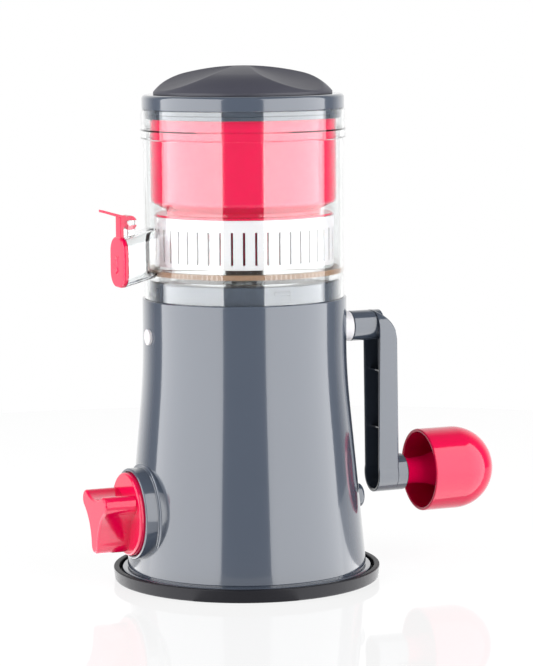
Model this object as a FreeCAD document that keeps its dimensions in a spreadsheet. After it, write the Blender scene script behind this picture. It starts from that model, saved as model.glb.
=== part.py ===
import FreeCAD, Part
import math
import os

import Sketcher

# Hand-cranked slow juicer on a suction foot, millimetres, +Z up, origin at the centre of the base.
# +X points to the crank, -X to the spout and the suction knob.

SIZES = [
    # alias, value, meaning
    ("lip_spread", 8.3, "rubber lip past the foot"),
    ("lip_height", 8.0, "height of the rubber lip"),
    ("lip_wall", 3.4, "thickness of the rubber lip"),
    ("lip_edge", 1.2, "bevel under the lip"),
    ("recess", 1.9, "gap between the lip and the foot flange"),
    ("web_height", 3.0, "thickness of the rubber under the foot"),
    ("seal_width", 12.8, "from the lip's edge to the inside of the sealing flat"),
    ("tongue_height", 10.0, "top of the rubber tongue inside the foot"),
    ("tongue_wall", 2.7, "thickness of the rubber tongue"),
    ("tongue_gap", 0.9, "gap between the rubber tongue and the foot wall"),
    ("hub_radius", 16.0, "rubber hub around the yoke foot"),
    ("hub_height", 8.0, "top of the rubber hub at rest"),
    ("hub_side", 2.2, "straight side of the rubber hub"),
    ("hollow_step", 2.0, "flat of the hollow within the hub radius"),
    ("dome_rise", 3.2, "hollow under the rubber hub"),
    ("foot_plate_radius", 11.0, "disc of the yoke moulded into the hub"),
    ("foot_plate_wall", 1.5, "thickness of that disc"),
    ("foot_plate_lift", 1.3, "rubber under that disc"),
    ("foot_plate_play", 0.2, "play between the rubber and the yoke"),
    ("flange_top", 7.6, "top of the foot flange"),
    ("foot_spread", 11.1, "foot radius over the top radius"),
    ("foot_groove", 0.9, "depth and height of the line over the flange"),
    ("wall", 2.6, "housing wall"),
    ("top_radius", 61.4, "housing radius at its top"),
    ("top_height", 171.0, "top edge of the housing"),
    ("neck_length", 44.1, "straight cylinder under the top edge, with half of the bend"),
    ("bend_reach", 20.0, "length of the turn on each side of the bend"),
    ("spigot_step", 4.4, "step in from the top edge to the spigot that the bowl skirt sits around"),
    ("deck_rise", 11, "spigot deck over the top edge"),
    ("deck_boss_radius", 10.0, "boss under the deck"),
    ("deck_boss_length", 11.5, "from the deck's top down to the underside of its boss"),
    ("post_radius", 5.5, "screw posts of the base plate"),
    ("post_inset", 12, "circle of the screw posts inside the foot radius"),
    ("post_top", 62.0, "top of the posts, merged into the wall"),
    ("plate_bottom", 12.6, "underside of the base plate"),
    ("plate_wall", 3.0, "thickness of the base plate"),
    ("plate_rim", 1.6, "thickness of the base plate rim"),
    ("guide_radius", 7.5, "guide tube on the base plate"),
    ("guide_top", 24.0, "top of the guide tube"),
    ("screw_radius", 1.5, "base plate screws"),
    ("screw_head_radius", 3.2, "their heads"),
    ("screw_head_height", 2.2, "height of their heads"),
    ("screw_reach", 12.0, "their length in the posts"),
    ("screw_play", 0.2, "radial play of a screw in a clearance bore"),
    ("plate_hole_play", 0.3, "radial play of the base plate screws"),
    ("pilot_spare", 1.0, "pilot bores past the ends of their screws"),
    ("fit", 0.05, "radial running clearance"),
    ("gap", 0.3, "clearance between pieces that move past each other"),
    ("shaft_height", 44.0, "axis of the suction knob"),
    ("suction_shaft_radius", 5.0, "suction shaft"),
    ("collar_radius", 27.3, "collar round the suction knob"),
    ("collar_wall", 2.0, "rim of the collar"),
    ("collar_length", 2.5, "end of the collar past the foot radius"),
    ("collar_floor_depth", 1.5, "floor of the collar inside the foot radius"),
    ("collar_base_radius", 30.0, "flange at the root of the collar"),
    ("collar_base_depth", 5.5, "face of the root flange inside the foot radius"),
    ("collar_root_depth", 10.5, "inner end of the collar inside the foot radius"),
    ("shaft_boss_radius", 9.0, "boss of the shaft bore on the other side"),
    ("shaft_boss_depth", 16.5, "inner end of that boss inside the foot radius"),
    ("boss_cover", 1.5, "outer end of that boss inside the outer face of the wall"),
    ("knob_disc_radius", 25.0, "round flange of the suction knob"),
    ("knob_disc_length", 3, "front of that flange past the collar"),
    ("grip_length", 20, "length of the three-lobed grip"),
    ("knob_web", 10.0, "end of the suction shaft behind the knob's front"),
    ("knob_seat", 3.4, "seat of the knob screw behind the cap"),
    ("knob_head_play", 0.8, "radial play of the screw head in the knob"),
    ("knob_screw_bore", 12.0, "depth of the screw's bore in the knob"),
    ("lobe_circle", 17.0, "distance of the lobe centres from the axis"),
    ("lobe_radius", 5.5, "end radius of a lobe"),
    ("scoop_floor", 10.5, "distance of the scoops from the axis"),
    ("knob_cap_radius", 8.45, "flush cap in the grip"),
    ("knob_cap_wall", 3.0, "thickness of that cap"),
    ("end_cap_radius", 7.65, "cap on the far end of the suction shaft"),
    ("end_cap_length", 4.2, "its outer face past the foot radius"),
    ("cam_radius", 9.5, "eccentric cam"),
    ("cam_wall", 8.0, "width of the cam and of the yoke"),
    ("lift", 4.0, "lift of the yoke over a quarter turn"),
    ("cam_play", 0.15, "play between the cam and the yoke window"),
    ("window_play", 0.5, "side play of the cam in the yoke window"),
    ("yoke_wall", 4.0, "wall of the yoke frame"),
    ("rod_radius", 4.0, "rod of the yoke"),
    ("cam_hub_radius", 8.5, "hub of the cam"),
    ("cam_hub_end", 12.0, "end of the cam hub"),
    ("pin_radius", 1.25, "cross pins of cam and pinion"),
    ("axle_drop", 21.6, "crank axle below the top edge"),
    ("axle_radius", 4.7, "crank axle"),
    ("axle_tip_length", 1.5, "how far the axle stands past the wall on the spout side"),
    ("square_margin", 0.033, "corners of the axle's square end inside the axle's radius"),
    ("square_reach", 2.0, "end of the square past the open side of the arm"),
    ("axle_boss_depth", 14.4, "inner ends of the axle bosses inside the wall radius"),
    ("axle_boss_cover", 1.2, "their outer ends inside the wall radius"),
    ("axle_boss_radius", 9.0, "left axle boss"),
    ("bush_boss_radius", 11.0, "right axle boss"),
    ("bush_radius", 7.0, "right axle bush in its boss"),
    ("bush_flange_radius", 9.2, "white flange outside the wall"),
    ("bush_flange_gap", 0.1, "inner face of that flange off the wall"),
    ("arm_clearance", 7.6, "inner end of the crank boss off the wall"),
    ("arm_boss_radius", 9.3, "crank boss"),
    ("arm_head_step", 0.1, "how far the head stands over the boss"),
    ("arm_boss_length", 15.3, "length of the crank boss to the open side of the arm"),
    ("arm_depth_top", 12.2, "depth of the arm at the head"),
    ("arm_depth_foot", 14.2, "depth of the arm at the foot"),
    ("arm_head_radius", 12.4, "half width of the head"),
    ("arm_foot_radius", 11.4, "lower boss and foot"),
    ("arm_neck_half", 10.6, "half width just over the foot"),
    ("arm_head_turn", 20.9, "radius of the rounded outer corner of the head"),
    ("arm_head_turn_drop", 9.6, "where that corner starts, below the axle"),
    ("head_seat", 5.0, "seat of the crank screw behind the open side"),
    ("head_play", 0.5, "radial play of the crank screw's head"),
    ("arm_spare", 5.0, "how far the shaping cuts run past the arm"),
    ("arm_wall", 2.0, "walls of the arm"),
    ("arm_cavity_drop", 5.4, "top of the hollow below the axle"),
    ("arm_cavity_depth", 9.6, "depth of the hollow"),
    ("rib_root", 1.0, "root of the ribs in the floor of the hollow"),
    ("rib_upper_rise", 63.5, "upper rib over the knob's axis"),
    ("rib_lower_rise", 28, "lower rib over the knob's axis"),
    ("rib_wall", 1.2, "thickness of the ribs"),
    ("rib_recess", 3.6, "how far the ribs stand back"),
    ("crank_radius", 92.6, "from the axle to the crank knob's axis"),
    ("arm_foot_length", 6, "lower boss past the arm's outer face"),
    ("grip_web", 4.0, "web of the lower boss"),
    ("grip_axle_radius", 4.0, "pin of the crank knob"),
    ("grip_axle_head_radius", 7.0, "head of that pin"),
    ("grip_axle_head", 2.0, "thickness of that head"),
    ("grip_axle_length", 42.7, "end of that pin, from there"),
    ("grip_play", 0.8, "from the lower boss to the knob hub"),
    ("grip_hub_radius", 8.8, "knob hub at its inner end"),
    ("grip_waist_radius", 8.0, "narrowest radius of the hub"),
    ("grip_waist_place", 4.7, "narrowest place of the hub from its inner end"),
    ("grip_flare_length", 26.7, "where the flare meets the bell, from the inner end of the hub"),
    ("flare_spread", 6.0, "how much the hub widens towards the bell"),
    ("bell_rim_place", 11.2, "rim of the bell from the inner end of the hub"),
    ("bell_radius", 25.5, "bell, outside"),
    ("bell_shoulder_place", 34, "where the bell starts to round, from there"),
    ("bell_wall", 2.0, "wall of the bell"),
    ("apex_reach", 28.0, "pitch radius of the bevel wheel"),
    ("pinion_pitch", 14.0, "pitch radius of the pinion"),
    ("pinion_teeth", 12, "teeth of the pinion"),
    ("wheel_teeth", 24, "teeth of the bevel wheel"),
    ("tooth_scale", 0.7143, "inner end of a tooth as a share of its outer end"),
    ("tooth_half", 1.45, "half thickness of a tooth on the pitch line"),
    ("tooth_addendum", 1.8, "height of a tooth over the pitch line"),
    ("tooth_dedendum", 2.8, "depth of a tooth under the pitch line, into the blank"),
    ("tooth_root", 2.3, "depth of the blank under the pitch line"),
    ("tooth_flank_angle", 20.0, "slope of the tooth flanks in degrees"),
    ("blank_spare", 0.01, "how far the blank runs past each end of a tooth, as a share"),
    ("pinion_hub_radius", 9.5, "hub of the pinion"),
    ("pinion_pin_reach", 8.0, "pinion's cross pin past the wheel's pitch radius"),
    ("pinion_shoulder", 1.5, "slope from the pinion's teeth to its hub"),
    ("drive_radius", 5.2, "round part of the drive shaft"),
    ("hexagon_margin", 0.0038, "corners of the drive shaft's hexagon inside its radius"),
    ("hexagon_start", 0.4, "where the upper hexagon starts, over the raised floor"),
    ("shaft_tip", 1.0, "end of the drive shaft under its clip"),
    ("drive_length", 30, "drive shaft over the deck"),
    ("wheel_hub_radius", 11.0, "hub of the bevel wheel"),
    ("wheel_hub_rise", 9.5, "underside of that hub over the crank axis"),
    ("wheel_back_rise", 19.1, "back of the bevel wheel over the crank axis"),
    ("clip_step", 2.8, "retaining clip past the shaft"),
    ("clip_wall", 1.2, "thickness of the clip"),
    ("clip_depth", 0.8, "depth of the clip's groove under the flats"),
    ("deck_bush_wall", 1.3, "wall of the bush in the deck"),
    ("deck_bush_flange_step", 3.3, "its flange past the shaft"),
    ("deck_bush_flange_wall", 1.5, "thickness of the flange"),
    ("thrust_step", 2.3, "thrust ring past the shaft"),
    ("thrust_wall", 1.7, "its thickness"),
    ("skirt_step", 3, "bowl radius over the spigot radius"),
    ("bowl_wall", 2.2, "bowl wall"),
    ("skirt_wall", 2.0, "bowl skirt"),
    ("rim_step", 1.4, "rim band past the bowl"),
    ("rim_height", 17.5, "height of the rim band"),
    ("bowl_depth", 97.5, "upper edge of the bowl over the channel"),
    ("rim_inset", 1, "inside of the rim within the bowl radius"),
    ("rim_bore_depth", 11.5, "depth of the rim bore"),
    ("floor_gap", 1, "gap between deck and bowl floor"),
    ("floor_wall", 3, "bowl floor under the juice channel around the strainer"),
    ("plateau_rise", 5.5, "raised floor that the strainer stands on, over the channel"),
    ("plateau_wall", 2.7, "thickness of the raised floor"),
    ("bowl_boss_radius", 12.0, "boss of the shaft hole in the bowl"),
    ("bowl_boss_gap", 2.5, "underside of that boss over the deck"),
    ("seal_wall", 4.3, "shaft seal past the shaft"),
    ("seal_height", 4.5, "its height"),
    ("seal_lip", 1.3, "ledge under the seal"),
    ("gasket_height", 3.0, "ring in the juice channel"),
    ("lug_height", 2.4, "bayonet lugs on the spigot"),
    ("lug_rise", 5.6, "underside of the lugs over the top edge"),
    ("lug_reach", 0.7, "how far lugs and ribs stand out"),
    ("lug_half_width", 5.0, "half width of a lug"),
    ("catch_rise", 2.4, "underside of the ribs in the skirt over the top edge"),
    ("spout_width", 24.0, "spout, outside width"),
    ("spout_depth", 29.6, "spout, outside height"),
    ("spout_corner", 9.0, "rounded corners of the spout"),
    ("spout_wall", 1.8, "spout wall"),
    ("spout_root_depth", 1.7, "where the spout starts within the bowl radius"),
    ("spout_bore_depth", 4.0, "start of the spout's bore behind its root"),
    ("spout_fall", 5.3, "fall of the spout from root to mouth"),
    ("spout_length", 18, "mouth of the spout past the bowl"),
    ("spout_rise", 8.9, "centre of the spout's mouth over the channel"),
    ("hinge_setback", 4, "axis of the spout cap behind the mouth"),
    ("hinge_rise", 23.4, "height of that axis over the mouth's centre"),
    ("hinge_pin_radius", 1.6, "clear cross pin"),
    ("hinge_post_wall", 1.8, "clear posts that carry the pin"),
    ("hinge_post_depth", 4.4, "their depth along the spout"),
    ("hinge_post_root", 1.5, "foot of the posts within the spout's top"),
    ("claw_width", 8.6, "claw and stem of the cap"),
    ("claw_radius", 4.3, "outer radius of the claw"),
    ("claw_mouth", 2.9, "opening of the claw"),
    ("cap_gap", 0.15, "gap between the cap and the spout mouth"),
    ("cap_wall", 3.0, "thickness of the cap plate"),
    ("cap_margin", 0.15, "how far the plate stands past the spout"),
    ("stem_wall", 2.0, "thickness of the stem"),
    ("stem_over", 4.7, "top of the stem over that axis"),
    ("stem_root", 4.0, "lower end of the stem below the plate's top"),
    ("lever_reach", 11.6, "lever tab"),
    ("lever_rise", 3.4, "rise of the lever tab"),
    ("lever_wall", 1.5, "thickness of the lever tab"),
    ("channel_width", 3.8, "juice channel between the bowl wall and the strainer"),
    ("strainer_wall", 2.0, "strainer wall"),
    ("strainer_height", 29, "height of the strainer"),
    ("slot_start", 2.8, "lower end of the slots over the raised floor"),
    ("slot_finish", 22, "upper end of the slots over the raised floor"),
    ("slot_width", 1.4, "width of a slot"),
    ("slot_count", 48, "slots around the strainer"),
    ("auger_clearance", 3.5, "auger within the strainer's outer radius"),
    ("auger_gap", 0.6, "gap under the auger"),
    ("auger_disc_wall", 2.9, "base disc of the auger"),
    ("auger_core_radius", 22.0, "core of the auger at the disc"),
    ("auger_tip_radius", 13.0, "core of the auger at its tip"),
    ("auger_tip_length", 6.0, "length of the auger's point"),
    ("auger_length", 54.5, "tip of the auger over the raised floor"),
    ("auger_neck_clearance", 3, "auger above the strainer, within the hopper's neck"),
    ("flight_pitch", 24.0, "pitch of the flight"),
    ("flight_wall", 3.0, "thickness of the flight"),
    ("flight_root", 1.5, "root of the flight within the tip of the core"),
    ("flight_inset", 0.4, "edge of the flight within the base disc"),
    ("flight_sink", 0.6, "start of the flight within the base disc"),
    ("flight_stop", 1.5, "end of the wide flight below the strainer's top"),
    ("flight_overlap", 0.8, "overlap of the two widths of flight"),
    ("flight_top_gap", 5.0, "end of the flight below the auger's tip"),
    ("hopper_gap", 2.3, "hopper inside the bowl wall"),
    ("hopper_wall", 2.0, "hopper wall"),
    ("hopper_drop", 1.5, "upper edge of the hopper below the bowl's edge"),
    ("hopper_turn_rise", 8, "where the hopper turns in, over the strainer"),
    ("hopper_neck_step", 7.5, "neck of the hopper inside the strainer radius"),
    ("hopper_neck_length", 3.7, "top of the neck over the strainer"),
    ("hopper_flange_step", 1, "flange on the strainer inside its radius"),
    ("hopper_flange_wall", 1.2, "its thickness"),
    ("lid_step", 0.9, "lid band inside the rim radius"),
    ("lid_band", 8.8, "height of the lid band"),
    ("lid_wall", 2.5, "lid plate"),
    ("lid_gap", 0.2, "gap between bowl edge and lid band"),
    ("lid_edge", 1.6, "rounded shoulder of the band"),
    ("lid_skirt_depth", 5.2, "lid skirt below the bowl's edge"),
    ("lid_skirt_wall", 2.4, "skirt wall"),
    ("lid_opening_step", 10.7, "opening in the lid plate within the skirt"),
    ("dome_step", 7.0, "dome of the lid inside the band"),
    ("dome_edge_rise", 1.5, "lower edge of the dome curve over the shelf"),
    ("dome_rise_over_lid", 16.8, "top of the dome over the shelf"),
    ("shoulder_run", 18.2, "from the dome's edge in to where the crown meets the shoulder"),
    ("crown_rise", 4.1, "rise of the crown"),
    ("shoulder_turn", 32.8, "radius of the shoulder curve"),
    ("dome_wall", 8.0, "thickness of the dome"),
    ("dome_snap_wall", 1.8, "snap ring of the dome"),
    ("dome_snap_depth", 5.5, "lower edge of the snap ring below the shelf"),
    ("scoop_start", 6.0, "radius where a finger scoop starts"),
    ("scoop_start_depth", 0.4, "start of a scoop below the top"),
    ("scoop_end_inset", 7.5, "radius where its floor leaves the dome, inside the dome radius"),
    ("scoop_end_depth", 12.25, "end of a scoop's floor below the top"),
    ("scoop_spread", 74.0, "angle between the floor of a scoop and the axis that it turns about"),
    ("scoop_count", 3, "finger scoops"),
    ("scoop_stretch", 1.6, "length of a scoop's cutter as a share of its floor"),
    ("scoop_turn", -59.0, "direction of the first scoop in degrees"),
]


class Size:
    """A size with its number and its formula over the sheet, so that both stay in step."""

    def __init__(self, value, formula=None):
        self.value = float(value)
        self.formula = formula if formula is not None else f"{float(value):.6f}"

    def __add__(self, other):
        other = as_size(other)
        return Size(self.value + other.value, f"({self.formula} + {other.formula})")

    def __sub__(self, other):
        other = as_size(other)
        return Size(self.value - other.value, f"({self.formula} - {other.formula})")

    def __mul__(self, other):
        other = as_size(other)
        return Size(self.value * other.value, f"({self.formula} * {other.formula})")

    def __truediv__(self, other):
        other = as_size(other)
        return Size(self.value / other.value, f"({self.formula} / {other.formula})")

    def __radd__(self, other):
        return as_size(other) + self

    def __rsub__(self, other):
        return as_size(other) - self

    def __rmul__(self, other):
        return as_size(other) * self

    def __neg__(self):
        return as_size(0) - self


def as_size(number):
    return number if isinstance(number, Size) else Size(number)


def root(size):
    return Size(math.sqrt(size.value), f"sqrt({size.formula})")


class Sheet:
    """The spreadsheet; each of its attributes is the Size of the cell with that alias."""

    def __init__(self, document):
        self.cells = document.addObject("Spreadsheet::Sheet", "Sizes")
        for row, (alias, value, meaning) in enumerate(SIZES, start=1):
            self.cells.set(f"A{row}", alias)
            self.cells.set(f"B{row}", str(value))
            self.cells.setAlias(f"B{row}", alias)
            self.cells.set(f"C{row}", meaning)
        document.recompute()

    def __getattr__(self, alias):
        return Size(self.cells.get(alias), f"Sizes.{alias}")


doc = FreeCAD.newDocument("juicer")
S = Sheet(doc)
parts = []


# ---------------------------------------------------------------- modelling helpers


def bind(item, **sizes):
    """Bind properties of an object to formulas."""
    for name, size in sizes.items():
        item.setExpression(name, as_size(size).formula)


def new_body(label, along=None, x=None, z=None):
    """A body for one piece. along="X" lays its own Z axis along +X through (x, 0, z)."""
    body = doc.addObject("PartDesign::Body", label)
    body.Label = label
    if along == "X":
        body.Placement = FreeCAD.Placement(FreeCAD.Vector(), FreeCAD.Rotation(FreeCAD.Vector(0, 1, 0), 90))
    if x is not None:
        body.setExpression("Placement.Base.x", as_size(x).formula)
    if z is not None:
        body.setExpression("Placement.Base.z", as_size(z).formula)
    parts.append(body)
    return body


def new_sketch(body, plane, offset=None):
    """A sketch on one of the body's own origin planes, moved along its normal by offset."""
    sketch = body.newObject("Sketcher::SketchObject", f"{body.Label}_{plane}")
    support = next(item for item in body.Origin.OriginFeatures if item.Role == f"{plane}_Plane")
    sketch.AttachmentSupport = [(support, "")]
    sketch.MapMode = "FlatFace"
    if offset is not None:
        sketch.setExpression("AttachmentOffset.Base.z", as_size(offset).formula)
    return sketch


def place_point(sketch, geometry, end, x, y):
    """Tie one point of the sketch to its formulas; a point on an axis is tied to that axis."""
    for kind, axis, size in (("DistanceX", -2, as_size(x)), ("DistanceY", -1, as_size(y))):
        if abs(size.value) < 1e-9:
            sketch.addConstraint(Sketcher.Constraint("PointOnObject", geometry, end, axis))
            continue
        if size.value > 0:
            tie = Sketcher.Constraint(kind, -1, 1, geometry, end, size.value)
        else:
            size = -size
            tie = Sketcher.Constraint(kind, geometry, end, -1, 1, size.value)
        index = sketch.addConstraint(tie)
        sketch.setExpression(f"Constraints[{index}]", size.formula)


def arc_between(start, end, bend):
    """The arc from start to end with radius bend: anticlockwise when bend is positive."""
    chord = end - start
    middle = (start + end) * 0.5
    left = FreeCAD.Vector(-chord.y, chord.x, 0).normalize()
    height = math.sqrt(max(bend ** 2 - (chord.Length / 2) ** 2, 0.0))
    centre = middle + left * math.copysign(height, bend)
    first, last = (start, end) if bend > 0 else (end, start)
    first_angle = math.atan2(first.y - centre.y, first.x - centre.x)
    last_angle = math.atan2(last.y - centre.y, last.x - centre.x)
    circle = Part.Circle(centre, FreeCAD.Vector(0, 0, 1), abs(bend))
    return Part.ArcOfCircle(circle, first_angle, last_angle)


def outline(sketch, corners):
    """Close an outline through corners (x, y) or (x, y, bend), bend shaping the edge to the corner."""
    points = [FreeCAD.Vector(as_size(c[0]).value, as_size(c[1]).value, 0) for c in corners]
    edges = []
    for index, corner in enumerate(corners):
        start, end = points[index - 1], points[index]
        if len(corner) == 3:
            bend = as_size(corner[2])
            edge = sketch.addGeometry(arc_between(start, end, bend.value), False)
            edges.append((edge, 1, 2) if bend.value > 0 else (edge, 2, 1))
        else:
            edge = sketch.addGeometry(Part.LineSegment(start, end), False)
            edges.append((edge, 1, 2))
    for index, (edge, first, last) in enumerate(edges):
        before = edges[index - 1]
        sketch.addConstraint(Sketcher.Constraint("Coincident", before[0], before[2], edge, first))
        place_point(sketch, edge, last, corners[index][0], corners[index][1])
    for (edge, _, _), corner in zip(edges, corners):
        if len(corner) == 3:
            bend = as_size(corner[2])
            bend = bend if bend.value > 0 else -bend
            index = sketch.addConstraint(Sketcher.Constraint("Radius", edge, bend.value))
            sketch.setExpression(f"Constraints[{index}]", bend.formula)
    return sketch


def disc(sketch, radius, x=0.0, y=0.0):
    """A full circle in the sketch."""
    radius = as_size(radius)
    centre = FreeCAD.Vector(as_size(x).value, as_size(y).value, 0)
    edge = sketch.addGeometry(Part.Circle(centre, FreeCAD.Vector(0, 0, 1), radius.value), False)
    place_point(sketch, edge, 3, x, y)
    index = sketch.addConstraint(Sketcher.Constraint("Radius", edge, radius.value))
    sketch.setExpression(f"Constraints[{index}]", radius.formula)
    return sketch


def rectangle(sketch, left, bottom, right, top):
    return outline(sketch, [(left, bottom), (right, bottom), (right, top), (left, top)])


def round_rectangle(sketch, x, y, half_width, half_height, corner):
    """A rectangle about (x, y) with rounded corners."""
    inner_x, inner_y = half_width - corner, half_height - corner
    return outline(sketch, [
        (x + half_width, y + inner_y),
        (x + inner_x, y + half_height, corner),
        (x - inner_x, y + half_height),
        (x - half_width, y + inner_y, corner),
        (x - half_width, y - inner_y),
        (x - inner_x, y - half_height, corner),
        (x + inner_x, y - half_height),
        (x + half_width, y - inner_y, corner),
    ])


def hexagon(sketch, across_flats):
    radius = across_flats / math.sqrt(3.0)
    corners = []
    for turn in range(6):
        angle = math.radians(60.0 * turn)
        corners.append((radius * math.cos(angle), radius * math.sin(angle)))
    corners = [(x if abs(x.value) > 1e-9 else 0.0, y if abs(y.value) > 1e-9 else 0.0) for x, y in corners]
    return outline(sketch, corners)


def feature(body, kind, sketch, name):
    item = body.newObject(f"PartDesign::{kind}", f"{body.Label}_{name}")
    item.Profile = sketch
    return item


def revolve(body, corners, name="turned", kind="Revolution"):
    """Turn an outline in the XZ plane about the body's own Z axis."""
    sketch = outline(new_sketch(body, "XZ"), corners)
    item = feature(body, kind, sketch, name)
    item.ReferenceAxis = (sketch, ["V_Axis"])
    item.Angle = 360.0
    return item


def pad(body, sketch, length, name="pad", kind="Pad", reverse=False, both=False):
    item = feature(body, kind, sketch, name)
    item.Type = "Length"
    item.Reversed = reverse
    item.Midplane = both
    bind(item, Length=length)
    return item


def pocket(body, sketch, length, name="pocket", reverse=True, both=False):
    """Cut along the sketch normal (reverse=True) by length."""
    return pad(body, sketch, length, name, "Pocket", reverse, both)


def pattern(body, originals, occurrences, name="pattern", angle=360.0, axis="Z"):
    item = body.newObject("PartDesign::PolarPattern", f"{body.Label}_{name}")
    item.Originals = originals
    line = next(entry for entry in body.Origin.OriginFeatures if entry.Role == f"{axis}_Axis")
    item.Axis = (line, [""])
    item.Angle = angle
    bind(item, Occurrences=occurrences)
    body.Tip = item
    return item


def ring(label, inner, outer, bottom, top, along=None, x=None, z=None):
    """A plain ring or disc."""
    body = new_body(label, along, x, z)
    revolve(body, [(inner, bottom), (outer, bottom), (outer, top), (inner, top)])
    return body


# ---------------------------------------------------------------- sizes that follow from the sheet

S.foot_radius = S.top_radius + S.foot_spread
S.lip_radius = S.foot_radius + S.lip_spread
S.seal_inner = S.lip_radius - S.seal_width
S.post_circle = S.foot_radius - S.post_inset
S.bend_height = S.top_height - S.neck_length
S.spigot_radius = S.top_radius - S.spigot_step
S.deck_height = S.top_height + S.deck_rise
S.deck_boss_bottom = S.deck_height - S.deck_boss_length
S.collar_root = S.foot_radius - S.collar_root_depth
S.collar_base_reach = S.foot_radius - S.collar_base_depth
S.collar_floor = S.foot_radius - S.collar_floor_depth
S.collar_reach = S.foot_radius + S.collar_length
S.shaft_boss_inner = S.foot_radius - S.shaft_boss_depth
S.knob_disc_front = S.collar_reach + S.knob_disc_length
S.knob_front = S.knob_disc_front + S.grip_length
S.end_cap_front = S.foot_radius + S.end_cap_length
S.axle_height = S.top_height - S.axle_drop
S.axle_left = S.top_radius + S.axle_tip_length
S.axle_boss_inner = S.top_radius - S.axle_boss_depth
S.axle_boss_outer = S.top_radius - S.axle_boss_cover
S.bush_flange_inner = S.top_radius + S.bush_flange_gap
S.arm_boss_start = S.top_radius + S.arm_clearance
S.arm_inner = S.arm_boss_start + S.arm_boss_length
S.arm_outer_top = S.arm_inner + S.arm_depth_top
S.arm_outer_foot = S.arm_inner + S.arm_depth_foot
S.grip_height = S.axle_height - S.crank_radius
S.arm_head_turn_start = S.axle_height - S.arm_head_turn_drop
S.arm_cavity_top = S.axle_height - S.arm_cavity_drop
S.rib_upper = S.grip_height + S.rib_upper_rise
S.rib_lower = S.grip_height + S.rib_lower_rise
S.arm_foot_end = S.arm_outer_foot + S.arm_foot_length
S.grip_hub_start = S.arm_foot_end + S.grip_play
S.grip_waist = S.grip_hub_start + S.grip_waist_place
S.bell_rim = S.grip_hub_start + S.bell_rim_place
S.grip_flare_end = S.grip_hub_start + S.grip_flare_length
S.bell_shoulder = S.grip_hub_start + S.bell_shoulder_place
S.grip_axle_end = S.grip_hub_start + S.grip_axle_length
S.wheel_hub_bottom = S.axle_height + S.wheel_hub_rise
S.wheel_back = S.axle_height + S.wheel_back_rise
S.deck_bush_radius = S.drive_radius + S.deck_bush_wall
S.deck_bush_flange = S.drive_radius + S.deck_bush_flange_step
S.clip_radius = S.drive_radius + S.clip_step
S.thrust_radius = S.drive_radius + S.thrust_step
S.seal_radius = S.drive_radius + S.seal_wall
S.drive_top = S.deck_height + S.drive_length
S.bowl_radius = S.spigot_radius + S.skirt_step
bowl_bore = S.bowl_radius - S.bowl_wall
S.strainer_radius = bowl_bore - S.channel_width
S.hopper_radius = bowl_bore - S.hopper_gap
S.skirt_bottom = S.top_height + S.gap
S.rim_radius = S.bowl_radius + S.rim_step
S.rim_bore = S.bowl_radius - S.rim_inset
S.floor_bottom = S.deck_height + S.floor_gap
S.channel_floor = S.floor_bottom + S.floor_wall
S.plateau_top = S.channel_floor + S.plateau_rise
S.bowl_boss_bottom = S.deck_height + S.bowl_boss_gap
S.rim_top = S.channel_floor + S.bowl_depth
S.rim_bottom = S.rim_top - S.rim_height
S.rim_seat = S.rim_top - S.rim_bore_depth
S.lug_bottom = S.top_height + S.lug_rise
S.catch_bottom = S.top_height + S.catch_rise
S.spout_root = S.bowl_radius - S.spout_root_depth
S.spout_end = S.bowl_radius + S.spout_length
S.spout_end_height = S.channel_floor + S.spout_rise
S.spout_root_height = S.spout_end_height + S.spout_fall
S.hinge_reach = S.spout_end - S.hinge_setback
S.hinge_height = S.spout_end_height + S.hinge_rise
S.stem_top = S.hinge_height + S.stem_over
S.strainer_top = S.plateau_top + S.strainer_height
S.slot_bottom = S.plateau_top + S.slot_start
S.slot_top = S.plateau_top + S.slot_finish
S.auger_bottom = S.plateau_top + S.auger_gap
S.auger_tip = S.plateau_top + S.auger_length
S.hopper_turn = S.strainer_top + S.hopper_turn_rise
S.hopper_neck_top = S.strainer_top + S.hopper_neck_length
S.hopper_top = S.rim_top - S.hopper_drop
S.hopper_flange_radius = S.strainer_radius - S.hopper_flange_step
S.hopper_neck_radius = S.strainer_radius - S.hopper_neck_step
S.auger_radius = S.strainer_radius - S.auger_clearance
S.auger_neck_radius = S.hopper_neck_radius - S.auger_neck_clearance
S.lid_radius = S.rim_radius - S.lid_step
S.lid_bottom = S.rim_top + S.lid_gap
S.lid_top = S.lid_bottom + S.lid_band
S.lid_skirt_bottom = S.rim_top - S.lid_skirt_depth
S.lid_skirt_radius = S.rim_bore - S.gap
S.lid_opening = S.lid_skirt_radius - S.lid_opening_step
S.dome_radius = S.lid_radius - S.dome_step
S.dome_break = S.dome_radius - S.shoulder_run
S.dome_edge = S.lid_top + S.dome_edge_rise
S.dome_top = S.lid_top + S.dome_rise_over_lid
S.dome_break_height = S.dome_top - S.crown_rise
S.dome_snap_bottom = S.lid_top - S.dome_snap_depth
S.scoop_end = S.dome_radius - S.scoop_end_inset
S.scoop_start_height = S.dome_top - S.scoop_start_depth
S.scoop_end_height = S.dome_top - S.scoop_end_depth
flange_radius = S.lip_radius - S.lip_wall - S.recess
foot_bore = S.foot_radius - S.wall
tongue_outer = foot_bore - S.tongue_gap
tongue_inner = tongue_outer - S.tongue_wall
plate_radius = tongue_inner - S.gap
plate_top = S.plate_bottom + S.plate_wall
S.axle_square = (S.axle_radius - S.square_margin) * math.sqrt(2.0)
pinion_pin_place = S.apex_reach + S.pinion_pin_reach
S.drive_flats = (S.drive_radius - S.hexagon_margin) * math.sqrt(3.0)
cam_throw = S.lift / math.sqrt(2.0)
window_half = S.cam_radius + S.cam_play
window_middle = S.shaft_height - S.lift / 2
window_side = S.cam_radius + cam_throw + S.window_play
foot_plate_bottom = S.dome_rise + S.foot_plate_lift
cone_run = S.foot_radius - S.top_radius
cone_rise = S.bend_height - S.flange_top
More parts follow.
